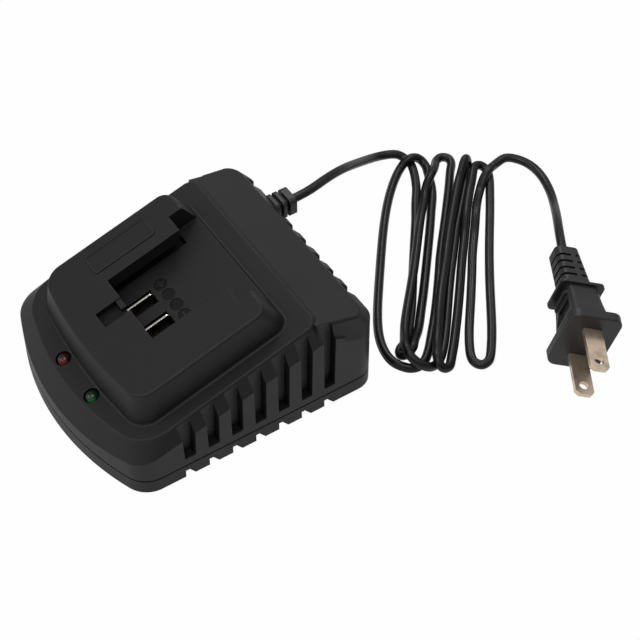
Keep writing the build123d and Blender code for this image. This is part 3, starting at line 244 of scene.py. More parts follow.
class ShaderLibrary:
    """The effects that several materials share, each a node group that is built once."""

    def __init__(self) -> None:
        """Builds every group."""
        self.grain = self._grain()
        self.specks = self._specks()
        self.handling = self._handling()
        self.brushing = self._brushing()

    @staticmethod
    def _open(name: str, inputs: dict[str, float], outputs: Iterable[str]) -> tuple[Graph, dict, dict]:
        """Opens a group with float inputs and outputs.

        Args:
            name: The group's name.
            inputs: Each input's name and default value.
            outputs: The outputs' names.

        Returns:
            The graph, the sockets that carry its inputs, and the sockets that take its outputs.
        """
        tree = bpy.data.node_groups.new(name, "ShaderNodeTree")
        graph = Graph(tree)
        for key, value in inputs.items():
            socket = tree.interface.new_socket(key, in_out="INPUT", socket_type="NodeSocketFloat")
            socket.default_value = value
        for key in outputs:
            tree.interface.new_socket(key, in_out="OUTPUT", socket_type="NodeSocketFloat")
        entry, leave = graph.add("NodeGroupInput"), graph.add("NodeGroupOutput")
        return graph, dict(entry.outputs.items()), dict(leave.inputs.items())

    def _grain(self) -> bpy.types.NodeTree:
        """Builds the spark-eroded texture of moulded plastic.

        Returns:
            The group's tree.
        """
        graph, given, out = self._open("moulded_grain", {"Scale": 2600.0}, ["Height", "Tone"])
        place = graph.add("TexCoord").outputs["Object"]
        fine = graph.add(
            "TexNoise", {"Vector": place, "Scale": given["Scale"], "Detail": 3.0, "Roughness": 0.62}
        )
        pits = graph.add("TexVoronoi", {"Vector": place, "Scale": given["Scale"]}, feature="SMOOTH_F1")
        height = graph.maths("ADD", fine.outputs[0], graph.maths("MULTIPLY", pits.outputs["Distance"], 0.5))
        graph.feed(out["Height"], height)
        graph.feed(out["Tone"], fine.outputs[0])
        return graph.tree

    def _specks(self) -> bpy.types.NodeTree:
        """Builds a few grains of pale dust.

        Returns:
            The group's tree.
        """
        inputs = {"Scale": 240.0, "Share": 0.12, "Size": 0.05}
        graph, given, out = self._open("dust_specks", inputs, ["Mask"])
        place = graph.add("TexCoord").outputs["Object"]
        cells = graph.add("TexVoronoi", {"Vector": place, "Scale": given["Scale"]})
        grain = graph.maths("LESS_THAN", cells.outputs["Distance"], given["Size"])
        random = graph.add("SeparateColor", {"Color": cells.outputs["Color"]}).outputs[0]
        chosen = graph.maths("LESS_THAN", random, given["Share"])
        graph.feed(out["Mask"], graph.maths("MULTIPLY", grain, chosen))
        return graph.tree

    def _handling(self) -> bpy.types.NodeTree:
        """Builds soft patches, where hands have polished or dulled a surface.

        Returns:
            The group's tree.
        """
        graph, given, out = self._open("handling", {"Scale": 40.0, "Amount": 0.06}, ["Change"])
        place = graph.add("TexCoord").outputs["Object"]
        patches = graph.add("TexNoise", {"Vector": place, "Scale": given["Scale"], "Detail": 4.0})
        centred = graph.maths("SUBTRACT", patches.outputs[0], 0.5)
        graph.feed(out["Change"], graph.maths("MULTIPLY", centred, given["Amount"]))
        return graph.tree

    def _brushing(self) -> bpy.types.NodeTree:
        """Builds fine lines along one direction, as on rolled or ground metal.

        Returns:
            The group's tree.
        """
        graph, given, out = self._open("brushing", {"Scale": 900.0, "Turn": 0.0}, ["Height", "Tone"])
        place = graph.add("TexCoord").outputs["Object"]
        turn = graph.add("CombineXYZ", {"Z": given["Turn"]}).outputs[0]
        turned = graph.add("VectorRotate", {"Vector": place, "Rotation": turn}, rotation_type="EULER_XYZ")
        drawn = graph.add("Mapping", {"Vector": turned.outputs[0], "Scale": (0.04, 1.0, 1.0)})
        lines = graph.add("TexNoise", {"Vector": drawn.outputs[0], "Scale": given["Scale"], "Detail": 3.0})
        graph.feed(out["Height"], lines.outputs[0])
        graph.feed(out["Tone"], lines.outputs[0])
        return graph.tree


@dataclass(frozen=True)
class Finish(ABC):
    """A material that is worked out from a few values."""

    name: str

    @abstractmethod
    def surface(self, graph: Graph, library: ShaderLibrary) -> dict[str, object]:
        """Adds the nodes that the finish needs.

        Args:
            graph: The material's nodes.
            library: The shared effects.

        Returns:
            What the shader's inputs hold.
        """

    def make(self, library: ShaderLibrary) -> bpy.types.Material:
        """Builds the material.

        Args:
            library: The shared effects.

        Returns:
            The material.
        """
        material = bpy.data.materials.new(self.name)
        material.use_nodes = True
        graph = Graph(material.node_tree)
        shader = graph.add("BsdfPrincipled", self.surface(graph, library))
        graph.add("OutputMaterial", {"Surface": shader.outputs[0]})
        return material


@dataclass(frozen=True)
class MouldedFinish(Finish):
    """Plastic or rubber, moulded with a fine texture. Depth, edge and recess are in millimetres."""

    colour: Colour
    roughness: float = 0.5
    grain_scale: float = 2600.0
    grain_depth: float = 0.02
    mottle: float = 0.14
    handling_scale: float = 45.0
    handling_amount: float = 0.16
    specular: float = 0.5
    edge: float = 0.0
    # edge_light: how strongly a painted highlight lightens the colour along rounded edges; edge_gain and
    # edge_lift give the highlight's colour
    edge_light: float = 0.0
    edge_cosines: Range = (0.995, 0.85)
    edge_gain: float = 2.6
    edge_lift: float = 0.01
    # recess, recess_range and recess_shade paint shade into hollows: the colour is darkened where ambient
    # occlusion finds surfaces within recess millimetres
    recess: float = 0.0
    recess_range: Range = (0.25, 0.85)
    recess_shade: float = 0.25
    specks: float = 0.0
    speck_colour: Colour = (0.16, 0.155, 0.15)

    def surface(self, graph: Graph, library: ShaderLibrary) -> dict[str, object]:
        """Adds grain, painted highlights along edges, painted shade in recesses and dust.

        Args:
            graph: The material's nodes.
            library: The shared effects.

        Returns:
            What the shader's inputs hold.
        """
        grain = graph.group(library.grain, scale=self.grain_scale)
        handling = graph.group(library.handling, scale=self.handling_scale, amount=self.handling_amount)
        tone = graph.ramp(grain.outputs["Tone"], *GRAIN_RANGE)
        colour = graph.tint(tone, shade(self.colour, 1 - self.mottle), shade(self.colour, 1 + self.mottle))
        roughness = graph.maths("ADD", handling.outputs["Change"], self.roughness, clamp=True)
        relief = {"Strength": 1.0, "Distance": self.grain_depth * MM, "Height": grain.outputs["Height"]}
        if self.edge > 0:
            rounded = graph.add("Bevel", {"Radius": self.edge * MM}, samples=8).outputs[0]
            relief["Normal"] = rounded
            # Painted highlight: the colour is lightened along edges, where the bevelled normal turns away
            # from the face's own.
            if self.edge_light > 0:
                cosine = graph.dot(rounded, graph.add("NewGeometry").outputs["Normal"])
                edge_highlight = graph.maths("MULTIPLY", graph.ramp(cosine, *self.edge_cosines), self.edge_light)
                colour = graph.tint(edge_highlight, colour, shade(self.colour, self.edge_gain, self.edge_lift))
        # Painted shade: the colour is darkened in recesses by ambient occlusion.
        if self.recess > 0:
            open_share = graph.add(
                "AmbientOcclusion", {"Distance": self.recess * MM}, samples=6
            ).outputs["AO"]
            recess_shade_colour = shade(self.colour, self.recess_shade)
            colour = graph.tint(graph.ramp(open_share, *self.recess_range), recess_shade_colour, colour)
        if self.specks > 0:
            dust = graph.group(library.specks, share=self.specks)
            colour = graph.tint(dust.outputs["Mask"], colour, self.speck_colour)
        bump = graph.add("Bump", relief)
        return {
            "Base Color": colour,
            "Roughness": roughness,
            "Specular IOR Level": self.specular,
            "Normal": bump.outputs[0],
        }


@dataclass(frozen=True)
class MetalFinish(Finish):
    """Plated or rolled metal with fine lines along it, and painted shade on its walls, in a darker colour if
    given.
    """

    colour: Colour
    roughness: float = 0.32
    metallic: float = 1.0
    turn: float = 0.0
    line_scale: float = 900.0
    line_depth: float = 0.01
    line_strength: float = 0.5
    line_contrast: float = 0.24
    tarnish: float = 0.25
    tarnish_scale: float = 260.0
    tarnish_range: Range = (-0.1, 0.25)
    edge: float = 0.15
    # A darker colour painted on faces that do not face up, as shade on the walls.
    painted_side_shade: Colour | None = None
    side_range: Range = (0.25, 0.7)

    def surface(self, graph: Graph, library: ShaderLibrary) -> dict[str, object]:
        """Adds the lines, the tarnish and the painted shade on the walls.

        Args:
            graph: The material's nodes.
            library: The shared effects.

        Returns:
            What the shader's inputs hold.
        """
        lines = graph.group(library.brushing, scale=self.line_scale, turn=self.turn)
        patches = graph.group(library.handling, scale=self.tarnish_scale, amount=1.0)
        mottled = graph.ramp(patches.outputs["Change"], *self.tarnish_range)
        colour = graph.tint(mottled, self.colour, shade(self.colour, 1 - self.tarnish))
        # Painted shade: faces turned away from up take the darker wall colour.
        if self.painted_side_shade:
            facing = graph.add("TexCoord").outputs["Normal"]
            upward = graph.add("SeparateXYZ", {"Vector": facing}).outputs["Z"]
            colour = graph.tint(graph.ramp(upward, *self.side_range), self.painted_side_shade, colour)
        least = self.roughness - self.line_contrast / 2
        rough = graph.maths("MULTIPLY_ADD", lines.outputs["Tone"], self.line_contrast, least)
        rounded = graph.add("Bevel", {"Radius": self.edge * MM}, samples=6)
        bump = graph.add(
            "Bump",
            {
                "Strength": self.line_strength,
                "Distance": self.line_depth * MM,
                "Height": lines.outputs["Height"],
                "Normal": rounded.outputs[0],
            },
        )
        return {
            "Base Color": colour,
            "Metallic": self.metallic,
            "Roughness": rough,
            "Normal": bump.outputs[0],
        }


@dataclass(frozen=True)
class LensFinish(Finish):
    """Tinted, slightly cloudy plastic of an indicator light, with painted light on one side, where lamp light
    refracted through the lens would gather.
    """

    colour: Colour
    # glow is painted light, not a lit lamp: a brighter colour laid on the side of the lens whose normal turns
    # towards glow_direction
    glow: Colour
    glow_direction: Point = (0.80, -0.52, 0.30)
    glow_range: Range = (0.72, 0.98)
    cloud_scale: float = 500.0
    cloud_range: Range = (-0.25, 0.25)
    cloud_shade: float = 0.55
    roughness: float = 0.22
    specular: float = 0.32
    coat: float = 0.25
    coat_roughness: float = 0.04

    def surface(self, graph: Graph, library: ShaderLibrary) -> dict[str, object]:
        """Adds the clouds and the painted light on one side.

        Args:
            graph: The material's nodes.
            library: The shared effects.

        Returns:
            What the shader's inputs hold.
        """
        cloud = graph.group(library.handling, scale=self.cloud_scale, amount=1.0)
        clear = graph.ramp(cloud.outputs["Change"], *self.cloud_range)
        colour = graph.tint(clear, shade(self.colour, self.cloud_shade), self.colour)
        facing = graph.add("TexCoord").outputs["Normal"]
        painted_glow_share = graph.ramp(graph.dot(facing, self.glow_direction), *self.glow_range)
        return {
            "Base Color": graph.tint(painted_glow_share, colour, self.glow),
            "Roughness": self.roughness,
            "Specular IOR Level": self.specular,
            "Coat Weight": self.coat,
            "Coat Roughness": self.coat_roughness,
        }


@dataclass(frozen=True)
class LaminateFinish(Finish):
    """Circuit board: green lacquer over copper tracks, with bare pads."""

    lacquer: Colour = (0.020, 0.150, 0.055)
    track: Colour = (0.045, 0.260, 0.095)
    tin: Colour = (0.62, 0.60, 0.55)
    track_scale: float = 260.0
    pad_scale: float = 240.0
    pad_size: float = 0.16
    roughness: float = 0.34
    relief: float = 0.03

    def surface(self, graph: Graph, library: ShaderLibrary) -> dict[str, object]:
        """Adds the tracks and the pads.

        Args:
            graph: The material's nodes.
            library: The shared effects.

        Returns:
            What the shader's inputs hold.
        """
        place = graph.add("TexCoord").outputs["Object"]
        bricks = {"Scale": self.track_scale, "Mortar Size": 0.08, "Brick Width": 1.7, "Row Height": 0.7}
        tracks = graph.add("TexBrick", {"Vector": place, **bricks})
        pads = graph.add("TexVoronoi", {"Vector": place, "Scale": self.pad_scale, "Randomness": 0.35})
        pad = graph.maths("LESS_THAN", pads.outputs["Distance"], self.pad_size)
        lacquer = graph.tint(tracks.outputs["Fac"], self.lacquer, self.track)
        colour = graph.tint(pad, lacquer, self.tin)
        handling = graph.group(library.handling, scale=90.0, amount=0.2)
        rough = graph.maths("ADD", handling.outputs["Change"], self.roughness, clamp=True)
        raised = graph.maths("ADD", tracks.outputs["Fac"], pad)
        bump = graph.add("Bump", {"Distance": self.relief * MM, "Height": raised})
        return {"Base Color": colour, "Roughness": rough, "Metallic": pad, "Normal": bump.outputs[0]}


class Axis3(Enum):
    """The direction that a winding's turns are stacked in, by its place in a vector."""

    X = 0
    Z = 2


@dataclass(frozen=True)
class WoundFinish(Finish):
    """Turns of enamelled wire or tape, side by side, a pitch apart in millimetres."""

    colour: Colour
    gap_colour: Colour
    axis: Axis3 = Axis3.Z
    pitch: float = 0.5
    metallic: float = 0.0
    gap_range: Range = (0.05, 0.5)
    roughness: float = 0.36
    relief: float = 0.12

    def surface(self, graph: Graph, library: ShaderLibrary) -> dict[str, object]:
        """Adds the turns.

        Args:
            graph: The material's nodes.
            library: The shared effects.

        Returns:
            What the shader's inputs hold.
        """
        place = graph.add("TexCoord").outputs["Object"]
        along = graph.add("SeparateXYZ", {"Vector": place}).outputs[self.axis.value]
        phase = graph.maths("MULTIPLY", along, math.pi / (self.pitch * MM))
        ridge = graph.maths("ABSOLUTE", graph.maths("SINE", phase))
        colour = graph.tint(graph.ramp(ridge, *self.gap_range), self.gap_colour, self.colour)
        handling = graph.group(library.handling, scale=200.0, amount=0.2)
        rough = graph.maths("ADD", handling.outputs["Change"], self.roughness, clamp=True)
        bump = graph.add("Bump", {"Distance": self.relief * MM, "Height": ridge})
        return {
            "Base Color": colour,
            "Roughness": rough,
            "Metallic": self.metallic,
            "Normal": bump.outputs[0],
        }


@dataclass(frozen=True)
class JacketFinish(Finish):
    """Semi-gloss jacket with faint grooves along it, in the cord's own coordinates."""

    dark: Colour = (0.0066, 0.0058, 0.0062)
    light: Colour = (0.0098, 0.0088, 0.0094)
    roughness: float = 0.32
    specular: float = 0.33
    grain_scale: float = 1500.0
    grain_depth: float = 0.006
    core_groove: float = 0.3
    crease_at: float = 0.2

    def surface(self, graph: Graph, library: ShaderLibrary) -> dict[str, object]:
        """Adds the grain and the grooves between the cores.

        Args:
            graph: The material's nodes.
            library: The shared effects.

        Returns:
            What the shader's inputs hold.
        """
        grain = graph.group(library.grain, scale=self.grain_scale)
        handling = graph.group(library.handling, scale=120.0, amount=0.25)
        rough = graph.maths("ADD", handling.outputs["Change"], self.roughness, clamp=True)
        colour = graph.tint(graph.ramp(grain.outputs["Tone"], *GRAIN_RANGE), self.dark, self.light)
        around = graph.add("SeparateXYZ", {"Vector": graph.add("TexCoord").outputs["UV"]}).outputs["Y"]
        turned = graph.maths("MULTIPLY_ADD", around, 2 * math.pi, -2 * math.pi * self.crease_at)
        cores = graph.maths("ABSOLUTE", graph.maths("SINE", turned))
        fine = graph.add("Bump", {"Distance": self.grain_depth * MM, "Height": grain.outputs["Height"]})
        grooves = {"Distance": self.core_groove * MM, "Height": cores, "Normal": fine.outputs[0]}
        return {
            "Base Color": colour,
            "Roughness": rough,
            "Specular IOR Level": self.specular,
            "Normal": graph.add("Bump", grooves).outputs[0],
        }


@dataclass(frozen=True)
class SoftBox:
    """A square lamp that faces the object, in metres and as bright as a white of its radiance."""

    name: str
    place: Point
    size: float
    radiance: float


@dataclass
class Studio:
    """Camera, floor and lamps. The clip, floor_half, aim and boxes are in metres, the rest in millimetres."""

    camera_place: Point = CAMERA_PLACE
    azimuth: float = 56.94
    elevation: float = 48.78
    lens: float = 105.3
    sensor: float = 36.0
    clip: Range = (0.02, 20.0)
    floor_half: float = 3.0
    floor_drop: float = 0.05
    floor_white: float = 0.985
    floor_glossy: float = 0.64
    floor_tone: float = 0.5
    sky_low: float = 0.12
    sky_top: float = 0.5
    sky_range: Range = (0.05, 0.85)
    aim: Point = (0.01, 0.03, 0.02)
    boxes: tuple[SoftBox, ...] = (
        SoftBox("back", (-0.75, 1.15, 1.0), 1.4, 0.35),
        SoftBox("top", (0.25, -0.25, 1.8), 0.9, 3.0),
        SoftBox("front", (-0.6, -1.4, 0.8), 1.0, 2.2),
        SoftBox("ridge", (-0.85, 0.6, 1.2), 0.45, 5.0),
        SoftBox("key", (0.35, -1.15, 1.2), 0.12, 30.0),
    )

    def build(self) -> None:
        """Makes the camera, the floor, the lamps and the surroundings."""
        self._camera()
        self._floor()
        self._surroundings()
        self._lamps()
        bpy.context.scene.view_settings.view_transform = "Standard"
        log.info("studio ready")

    def _camera(self) -> None:
        """Places the camera."""
        data = bpy.data.cameras.new("camera")
        data.lens, data.sensor_width = self.lens, self.sensor
        data.clip_start, data.clip_end = self.clip
        camera = bpy.data.objects.new("camera", data)
        bpy.context.scene.collection.objects.link(camera)
        turn, rise = math.radians(self.azimuth), math.radians(self.elevation)
        level = math.cos(rise)
        back = Vector((math.sin(turn) * level, -math.cos(turn) * level, math.sin(rise)))
        camera.location = Vector(self.camera_place) * MM
        camera.rotation_mode = "QUATERNION"
        camera.rotation_quaternion = (-back).to_track_quat("-Z", "Y")
        bpy.context.scene.camera = camera

    def _floor(self) -> None:
        """Lays a pale floor that shows as the background's white and keeps soft shadows."""
        mesh = bpy.data.meshes.new("floor")
        shape = bmesh.new()
        bmesh.ops.create_grid(shape, x_segments=1, y_segments=1, size=self.floor_half)
        bmesh.ops.translate(shape, verts=shape.verts, vec=(0, 0, -self.floor_drop * MM))
        shape.to_mesh(mesh)
        shape.free()
        floor = bpy.data.objects.new("floor", mesh)
        bpy.context.scene.collection.objects.link(floor)
        material = bpy.data.materials.new("floor_card")
        material.use_nodes = True
        graph = Graph(material.node_tree)
        seen = graph.add("LightPath").outputs
        mirrored = graph.maths("MAXIMUM", seen["Is Glossy Ray"], seen["Is Transmission Ray"])
        mirrored = graph.maths("MULTIPLY", mirrored, self.floor_glossy)
        direct = graph.maths("MULTIPLY", seen["Is Camera Ray"], self.floor_white)
        card = graph.add("BsdfDiffuse", {"Color": (*[self.floor_tone] * 3, 1.0)})
        glow = graph.add("Emission", {"Color": WHITE, "Strength": 1.0})
        share = graph.maths("MAXIMUM", direct, mirrored)
        mixed = graph.add("MixShader", {0: share, 1: card.outputs[0], 2: glow.outputs[0]})
        graph.add("OutputMaterial", {"Surface": mixed.outputs[0]})
        mesh.materials.append(material)

    def _surroundings(self) -> None:
        """Sets a studio round the object, dim at eye level, white where the camera looks past the floor."""
        world = bpy.data.worlds.new("studio")
        bpy.context.scene.world = world
        world.use_nodes = True
        graph = Graph(world.node_tree)
        seen = graph.add("LightPath").outputs["Is Camera Ray"]
        way = graph.add("TexCoord").outputs["Generated"]
        height = graph.add("SeparateXYZ", {"Vector": way}).outputs["Z"]
        raised = graph.ramp(height, *self.sky_range)
        strength = graph.maths("MULTIPLY_ADD", raised, self.sky_top - self.sky_low, self.sky_low)
        dim = graph.add("Background", {"Color": WHITE, "Strength": strength})
        white = graph.add("Background", {"Color": WHITE, "Strength": 1.0})
        mixed = graph.add("MixShader", {0: seen, 1: dim.outputs[0], 2: white.outputs[0]})
        graph.add("OutputWorld", {"Surface": mixed.outputs[0]})

    def _lamps(self) -> None:
        """Hangs soft boxes round the object."""
        for box in self.boxes:
            data = bpy.data.lights.new(box.name, "AREA")
            data.shape, data.size = "SQUARE", box.size
            data.energy = box.radiance * math.pi * box.size**2
            lamp = bpy.data.objects.new(box.name, data)
            lamp.location = box.place
            lamp.rotation_mode = "QUATERNION"
            towards = Vector(self.aim) - Vector(box.place)
            lamp.rotation_quaternion = towards.to_track_quat("-Z", "Y")
            bpy.context.scene.collection.objects.link(lamp)


@dataclass
class Part:
    """What every sub-assembly can do with its pieces."""

    library: ShaderLibrary

    def dress(self, finish: Finish, *nodes: str) -> None:
        """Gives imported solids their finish.

        Args:
            finish: The finish, made once for all of them.
            nodes: The solids' names.
        """
        material = finish.make(self.library)
        for node in nodes:
            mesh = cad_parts[node].data
            mesh.materials.clear()
            mesh.materials.append(material)
            log.info("dressed %s with %s", node, finish.name)

    def place(
        self, name: str, shape: bmesh.types.BMesh, material: bpy.types.Material, slot: str
    ) -> None:
        """Turns a finished shape into a piece that rides on the charger.

        Args:
            name: The piece's name.
            shape: Its shape, in metres, in the charger's frame. It is freed.
            material: Its material.
            slot: Not used.
        """
        bmesh.ops.recalc_face_normals(shape, faces=shape.faces)
        mesh = bpy.data.meshes.new(name)
        shape.to_mesh(mesh)
        shape.free()
        piece = bpy.data.objects.new(name, mesh)
        bpy.context.scene.collection.objects.link(piece)
        mesh.materials.append(material)
        mesh.shade_smooth()
        mesh.set_sharp_from_angle(angle=math.radians(SMOOTH_ANGLE))
        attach(piece, BODY)
        log.info("placed %s: %d faces", name, len(mesh.polygons))


@dataclass
class CoilTurns:
    """The loosely fanned turns of the cord, in plan and in millimetres.

    Each strand runs from one end of a turn to the next. Its bow is a sum of sine waves across the
    line between them, so a few numbers give each strand its own sag and lean.
    """

    ends: tuple[tuple[float, float], ...] = (
        (-39.84, 112.52),
        (37.42, 57.3),
        (-36.83, 116.83),
        (45.44, 60.41),
        (-31.42, 126.65),
        (47.65, 65.22),
        (-26.21, 132.46),
        (50.95, 67.42),
        (-21.0, 134.97),
        (56.16, 78.65),
        (-17.09, 138.18),
    )
    bows: tuple[tuple[float, ...], ...] = (
        (6.53, 0.77, 0.82, 0.0),
        (-8.52, 0.2, -0.87, -0.03),
        (-13.14, 2.38, -1.23, 0.54),
        (-3.72, -0.35, -0.61, 0.1),
        (-9.63, 2.24, -1.44, 0.67),
        (-1.37, -0.7, -0.8, -0.13),
        (-3.76, 0.82, -0.08, -0.02),
        (0.78, -1.95, 0.09, -0.05),
        (3.54, -0.13, 0.9, -0.06),
        (6.3, 0.03, 0.65, 0.41),
    )
    steps: int = 40

    def line(self) -> tuple[np.ndarray, np.ndarray]:
        """Works out the turns in plan, strand by strand.

        Returns:
            The points, and for each the number of its strand.
        """
        points, strands = [], []
        for index, bow in enumerate(self.bows):
            start, end = (np.array(corner) for corner in self.ends[index : index + 2])
            run = end - start
            side = np.array((-run[1], run[0])) / np.linalg.norm(run)
            for step in range(self.steps):
                angle = math.pi * (step + 0.5) / self.steps
                across = sum(share * math.sin((wave + 1) * angle) for wave, share in enumerate(bow))
                points.append(start + run * (1 - math.cos(angle)) / 2 + side * across)
                strands.append(index)
        return np.array(points), np.array(strands)


@dataclass
class Settler:
    """Lets a cord's turns settle a diameter apart, beside and over each other, on the surface.

    Lengths are in millimetres. A share says how much of a fault one round puts right.

    Attributes:
        diameter: The cord's.
        spacing: How far apart the line's points are.
        eye: Where the camera is. A point is drawn towards the line of sight that it started on.
        rounds: How often the turns are moved.
        search_rounds: After how many rounds the pairs of close points are found anew.
        part_rounds: How often close points are parted in one round.
        clearance: How far apart strands have to be, in diameters.
        nearest_run: How far along the cord two points are before they can be too close.
        lift: How much higher each strand starts than the one before.
        fall: How far the turns sink in one round.
        bend_share: How much of a sharp change of direction is smoothed.
        sight_share: How much of the way back to its line of sight a point goes.
        turn_reach: How many points to either side a bend's width is measured at.
        turn_chord: The least width of a bend there.
        turn_share: How much of what a bend lacks is added.
        part_share: How much of what a gap lacks is added to each of its points.
        part_gain: By how much more than that they are moved.
        side_share: How much a strand that is on the wrong side is still pushed sideways.
        tightest: The smallest radius that a bend may have.
        ease_rounds: How often the settled line is eased.
        ease_reaches: Over how many points each bend is measured, and 1 for the spacing.
        ease_share: How much of what a chord lacks is added at each of its ends.
    """

    diameter: float = CORD_DIAMETER
    spacing: float = 1.6
    eye: Point = CAMERA_PLACE
    rounds: int = 700
    search_rounds: int = 20
    part_rounds: int = 3
    clearance: float = 1.02
    nearest_run: float = 6.5
    lift: float = 0.75
    fall: float = 0.02
    bend_share: float = 0.06
    sight_share: float = 0.08
    turn_reach: int = 3
    turn_chord: float = 6.3
    turn_share: float = 0.2
    part_share: float = 0.35
    part_gain: float = 1.5
    side_share: float = 0.35
    tightest: float = 2.9
    ease_rounds: int = 600
    ease_reaches: tuple[int, ...] = (2, 3, 4, 1)
    ease_share: float = 0.25

    def settle(self, line: np.ndarray, layer: np.ndarray, fixed: np.ndarray) -> np.ndarray:
        """Moves the free points until the turns lie clear of each other.

        Args:
            line: The cord's line, evenly spaced.
            layer: Each point's place in the stack: a higher one lies over a lower one.
            fixed: Which points stay where they are.

        Returns:
            The settled line.
        """
        line, radius, gap = line.copy(), self.diameter / 2, self.diameter * self.clearance
        eye = np.array(self.eye)
        free = ~fixed[:, None]
        rays = line - eye
        rays /= np.linalg.norm(rays, axis=1)[:, None]
        line[~fixed, 2] = radius + self.lift * layer[~fixed]
        line[~fixed] = (eye + rays * ((line[:, 2] - eye[2]) / rays[:, 2])[:, None])[~fixed]
        index = np.arange(len(line))
        pairs = np.zeros((0, 2), int)
        for turn in range(self.rounds):
            if turn % self.search_rounds == 0:
                apart = np.linalg.norm(line[:, None] - line[None], axis=2)
                far_on = index[None] - index[:, None] > self.nearest_run / self.spacing
                pairs = np.argwhere((apart < 2 * gap) & far_on)
            bend = np.zeros_like(line)
            bend[2:-2] = line[:-4] - 4 * line[1:-3] + 6 * line[2:-2] - 4 * line[3:-1] + line[4:]
            on_ray = eye + rays * ((line - eye) * rays).sum(1)[:, None]
            line += np.where(free, -self.bend_share * bend + self.sight_share * (on_ray - line), 0)
            line[:, 2] -= np.where(fixed, 0, self.fall)
            self._open_turns(line, free)
            for _ in range(self.part_rounds):
                self._part(line, layer, free, pairs, gap)
                line[:, 2] = np.where(fixed, line[:, 2], np.maximum(line[:, 2], radius))
        return line

    def ease(self, line: np.ndarray) -> np.ndarray:
        """Spaces the settled points evenly and opens every bend to the cord's tightest radius.

        Args:
            line: The settled line. Its ends stay.

        Returns:
            The eased line.
        """
        run = run_along(line)
        line = points_at(np.linspace(0, run[-1], round(run[-1] / self.spacing)), run, line)
        held = np.ones((len(line), 1))
        held[[0, -1]] = 0
        for _ in range(self.ease_rounds):
            for reach in self.ease_reaches:
                chord = line[reach:] - line[:-reach]
                length = np.maximum(np.linalg.norm(chord, axis=1)[:, None], TINY)
                angle = min(reach * self.spacing / (2 * self.tightest), math.pi / 2)
                least = 2 * self.tightest * math.sin(angle)
                push = np.maximum(least - length, 0) if reach > 1 else self.spacing - length
                move = push * chord / length * self.ease_share
                line[reach:] += move * held[reach:]
                line[:-reach] -= move * held[:-reach]
            line[:, 2] = np.maximum(line[:, 2], self.diameter / 2)
        return line

    def _open_turns(self, line: np.ndarray, free: np.ndarray) -> None:
        """Keeps each bend as round as the cord's stiffness makes it.

        Args:
            line: The line, which is changed.
            free: Which points may move.
        """
        span = 2 * self.turn_reach
        chord = line[span:] - line[:-span]
        length = np.linalg.norm(chord, axis=1)[:, None]
        short = np.maximum(self.turn_chord - length, 0)
        push = short * chord / np.maximum(length, TINY) * self.turn_share
        line[span:] += push * free[span:]
        line[:-span] -= push * free[:-span]

    def _part(
        self, line: np.ndarray, layer: np.ndarray, free: np.ndarray, pairs: np.ndarray, gap: float
    ) -> None:
        """Pushes points that are too close apart, the later strand upwards.

        Args:
            line: The line, which is changed.
            layer: Each point's place in the stack.
            free: Which points may move.
            pairs: The pairs of points that may be too close.
            gap: How far apart they have to be.
        """
        if not len(pairs):
            return
        one, two = pairs[:, 0], pairs[:, 1]
        between = line[two] - line[one]
        length = np.linalg.norm(between, axis=1)
        close = length < gap
        one, two, between, length = one[close], two[close], between[close], length[close]
        way = between / np.maximum(length, TINY)[:, None]
        order = np.sign(layer[two] - layer[one])
        wrong = (between[:, 2] * order < 0) & (order != 0)
        sideways = way[wrong] * (self.side_share, self.side_share, 0)
        way[wrong] = sideways + np.array((0, 0, 1.0)) * order[wrong][:, None]
        way /= np.maximum(np.linalg.norm(way, axis=1), TINY)[:, None]
        push = np.maximum(gap - length, 0)[:, None] * way * self.part_share
        total, count = np.zeros_like(line), np.zeros(len(line))
        np.add.at(total, one, -push)
        np.add.at(total, two, push)
        np.add.at(count, one, 1)
        np.add.at(count, two, 1)
        line += free * total / np.maximum(count, 1)[:, None] * self.part_gain


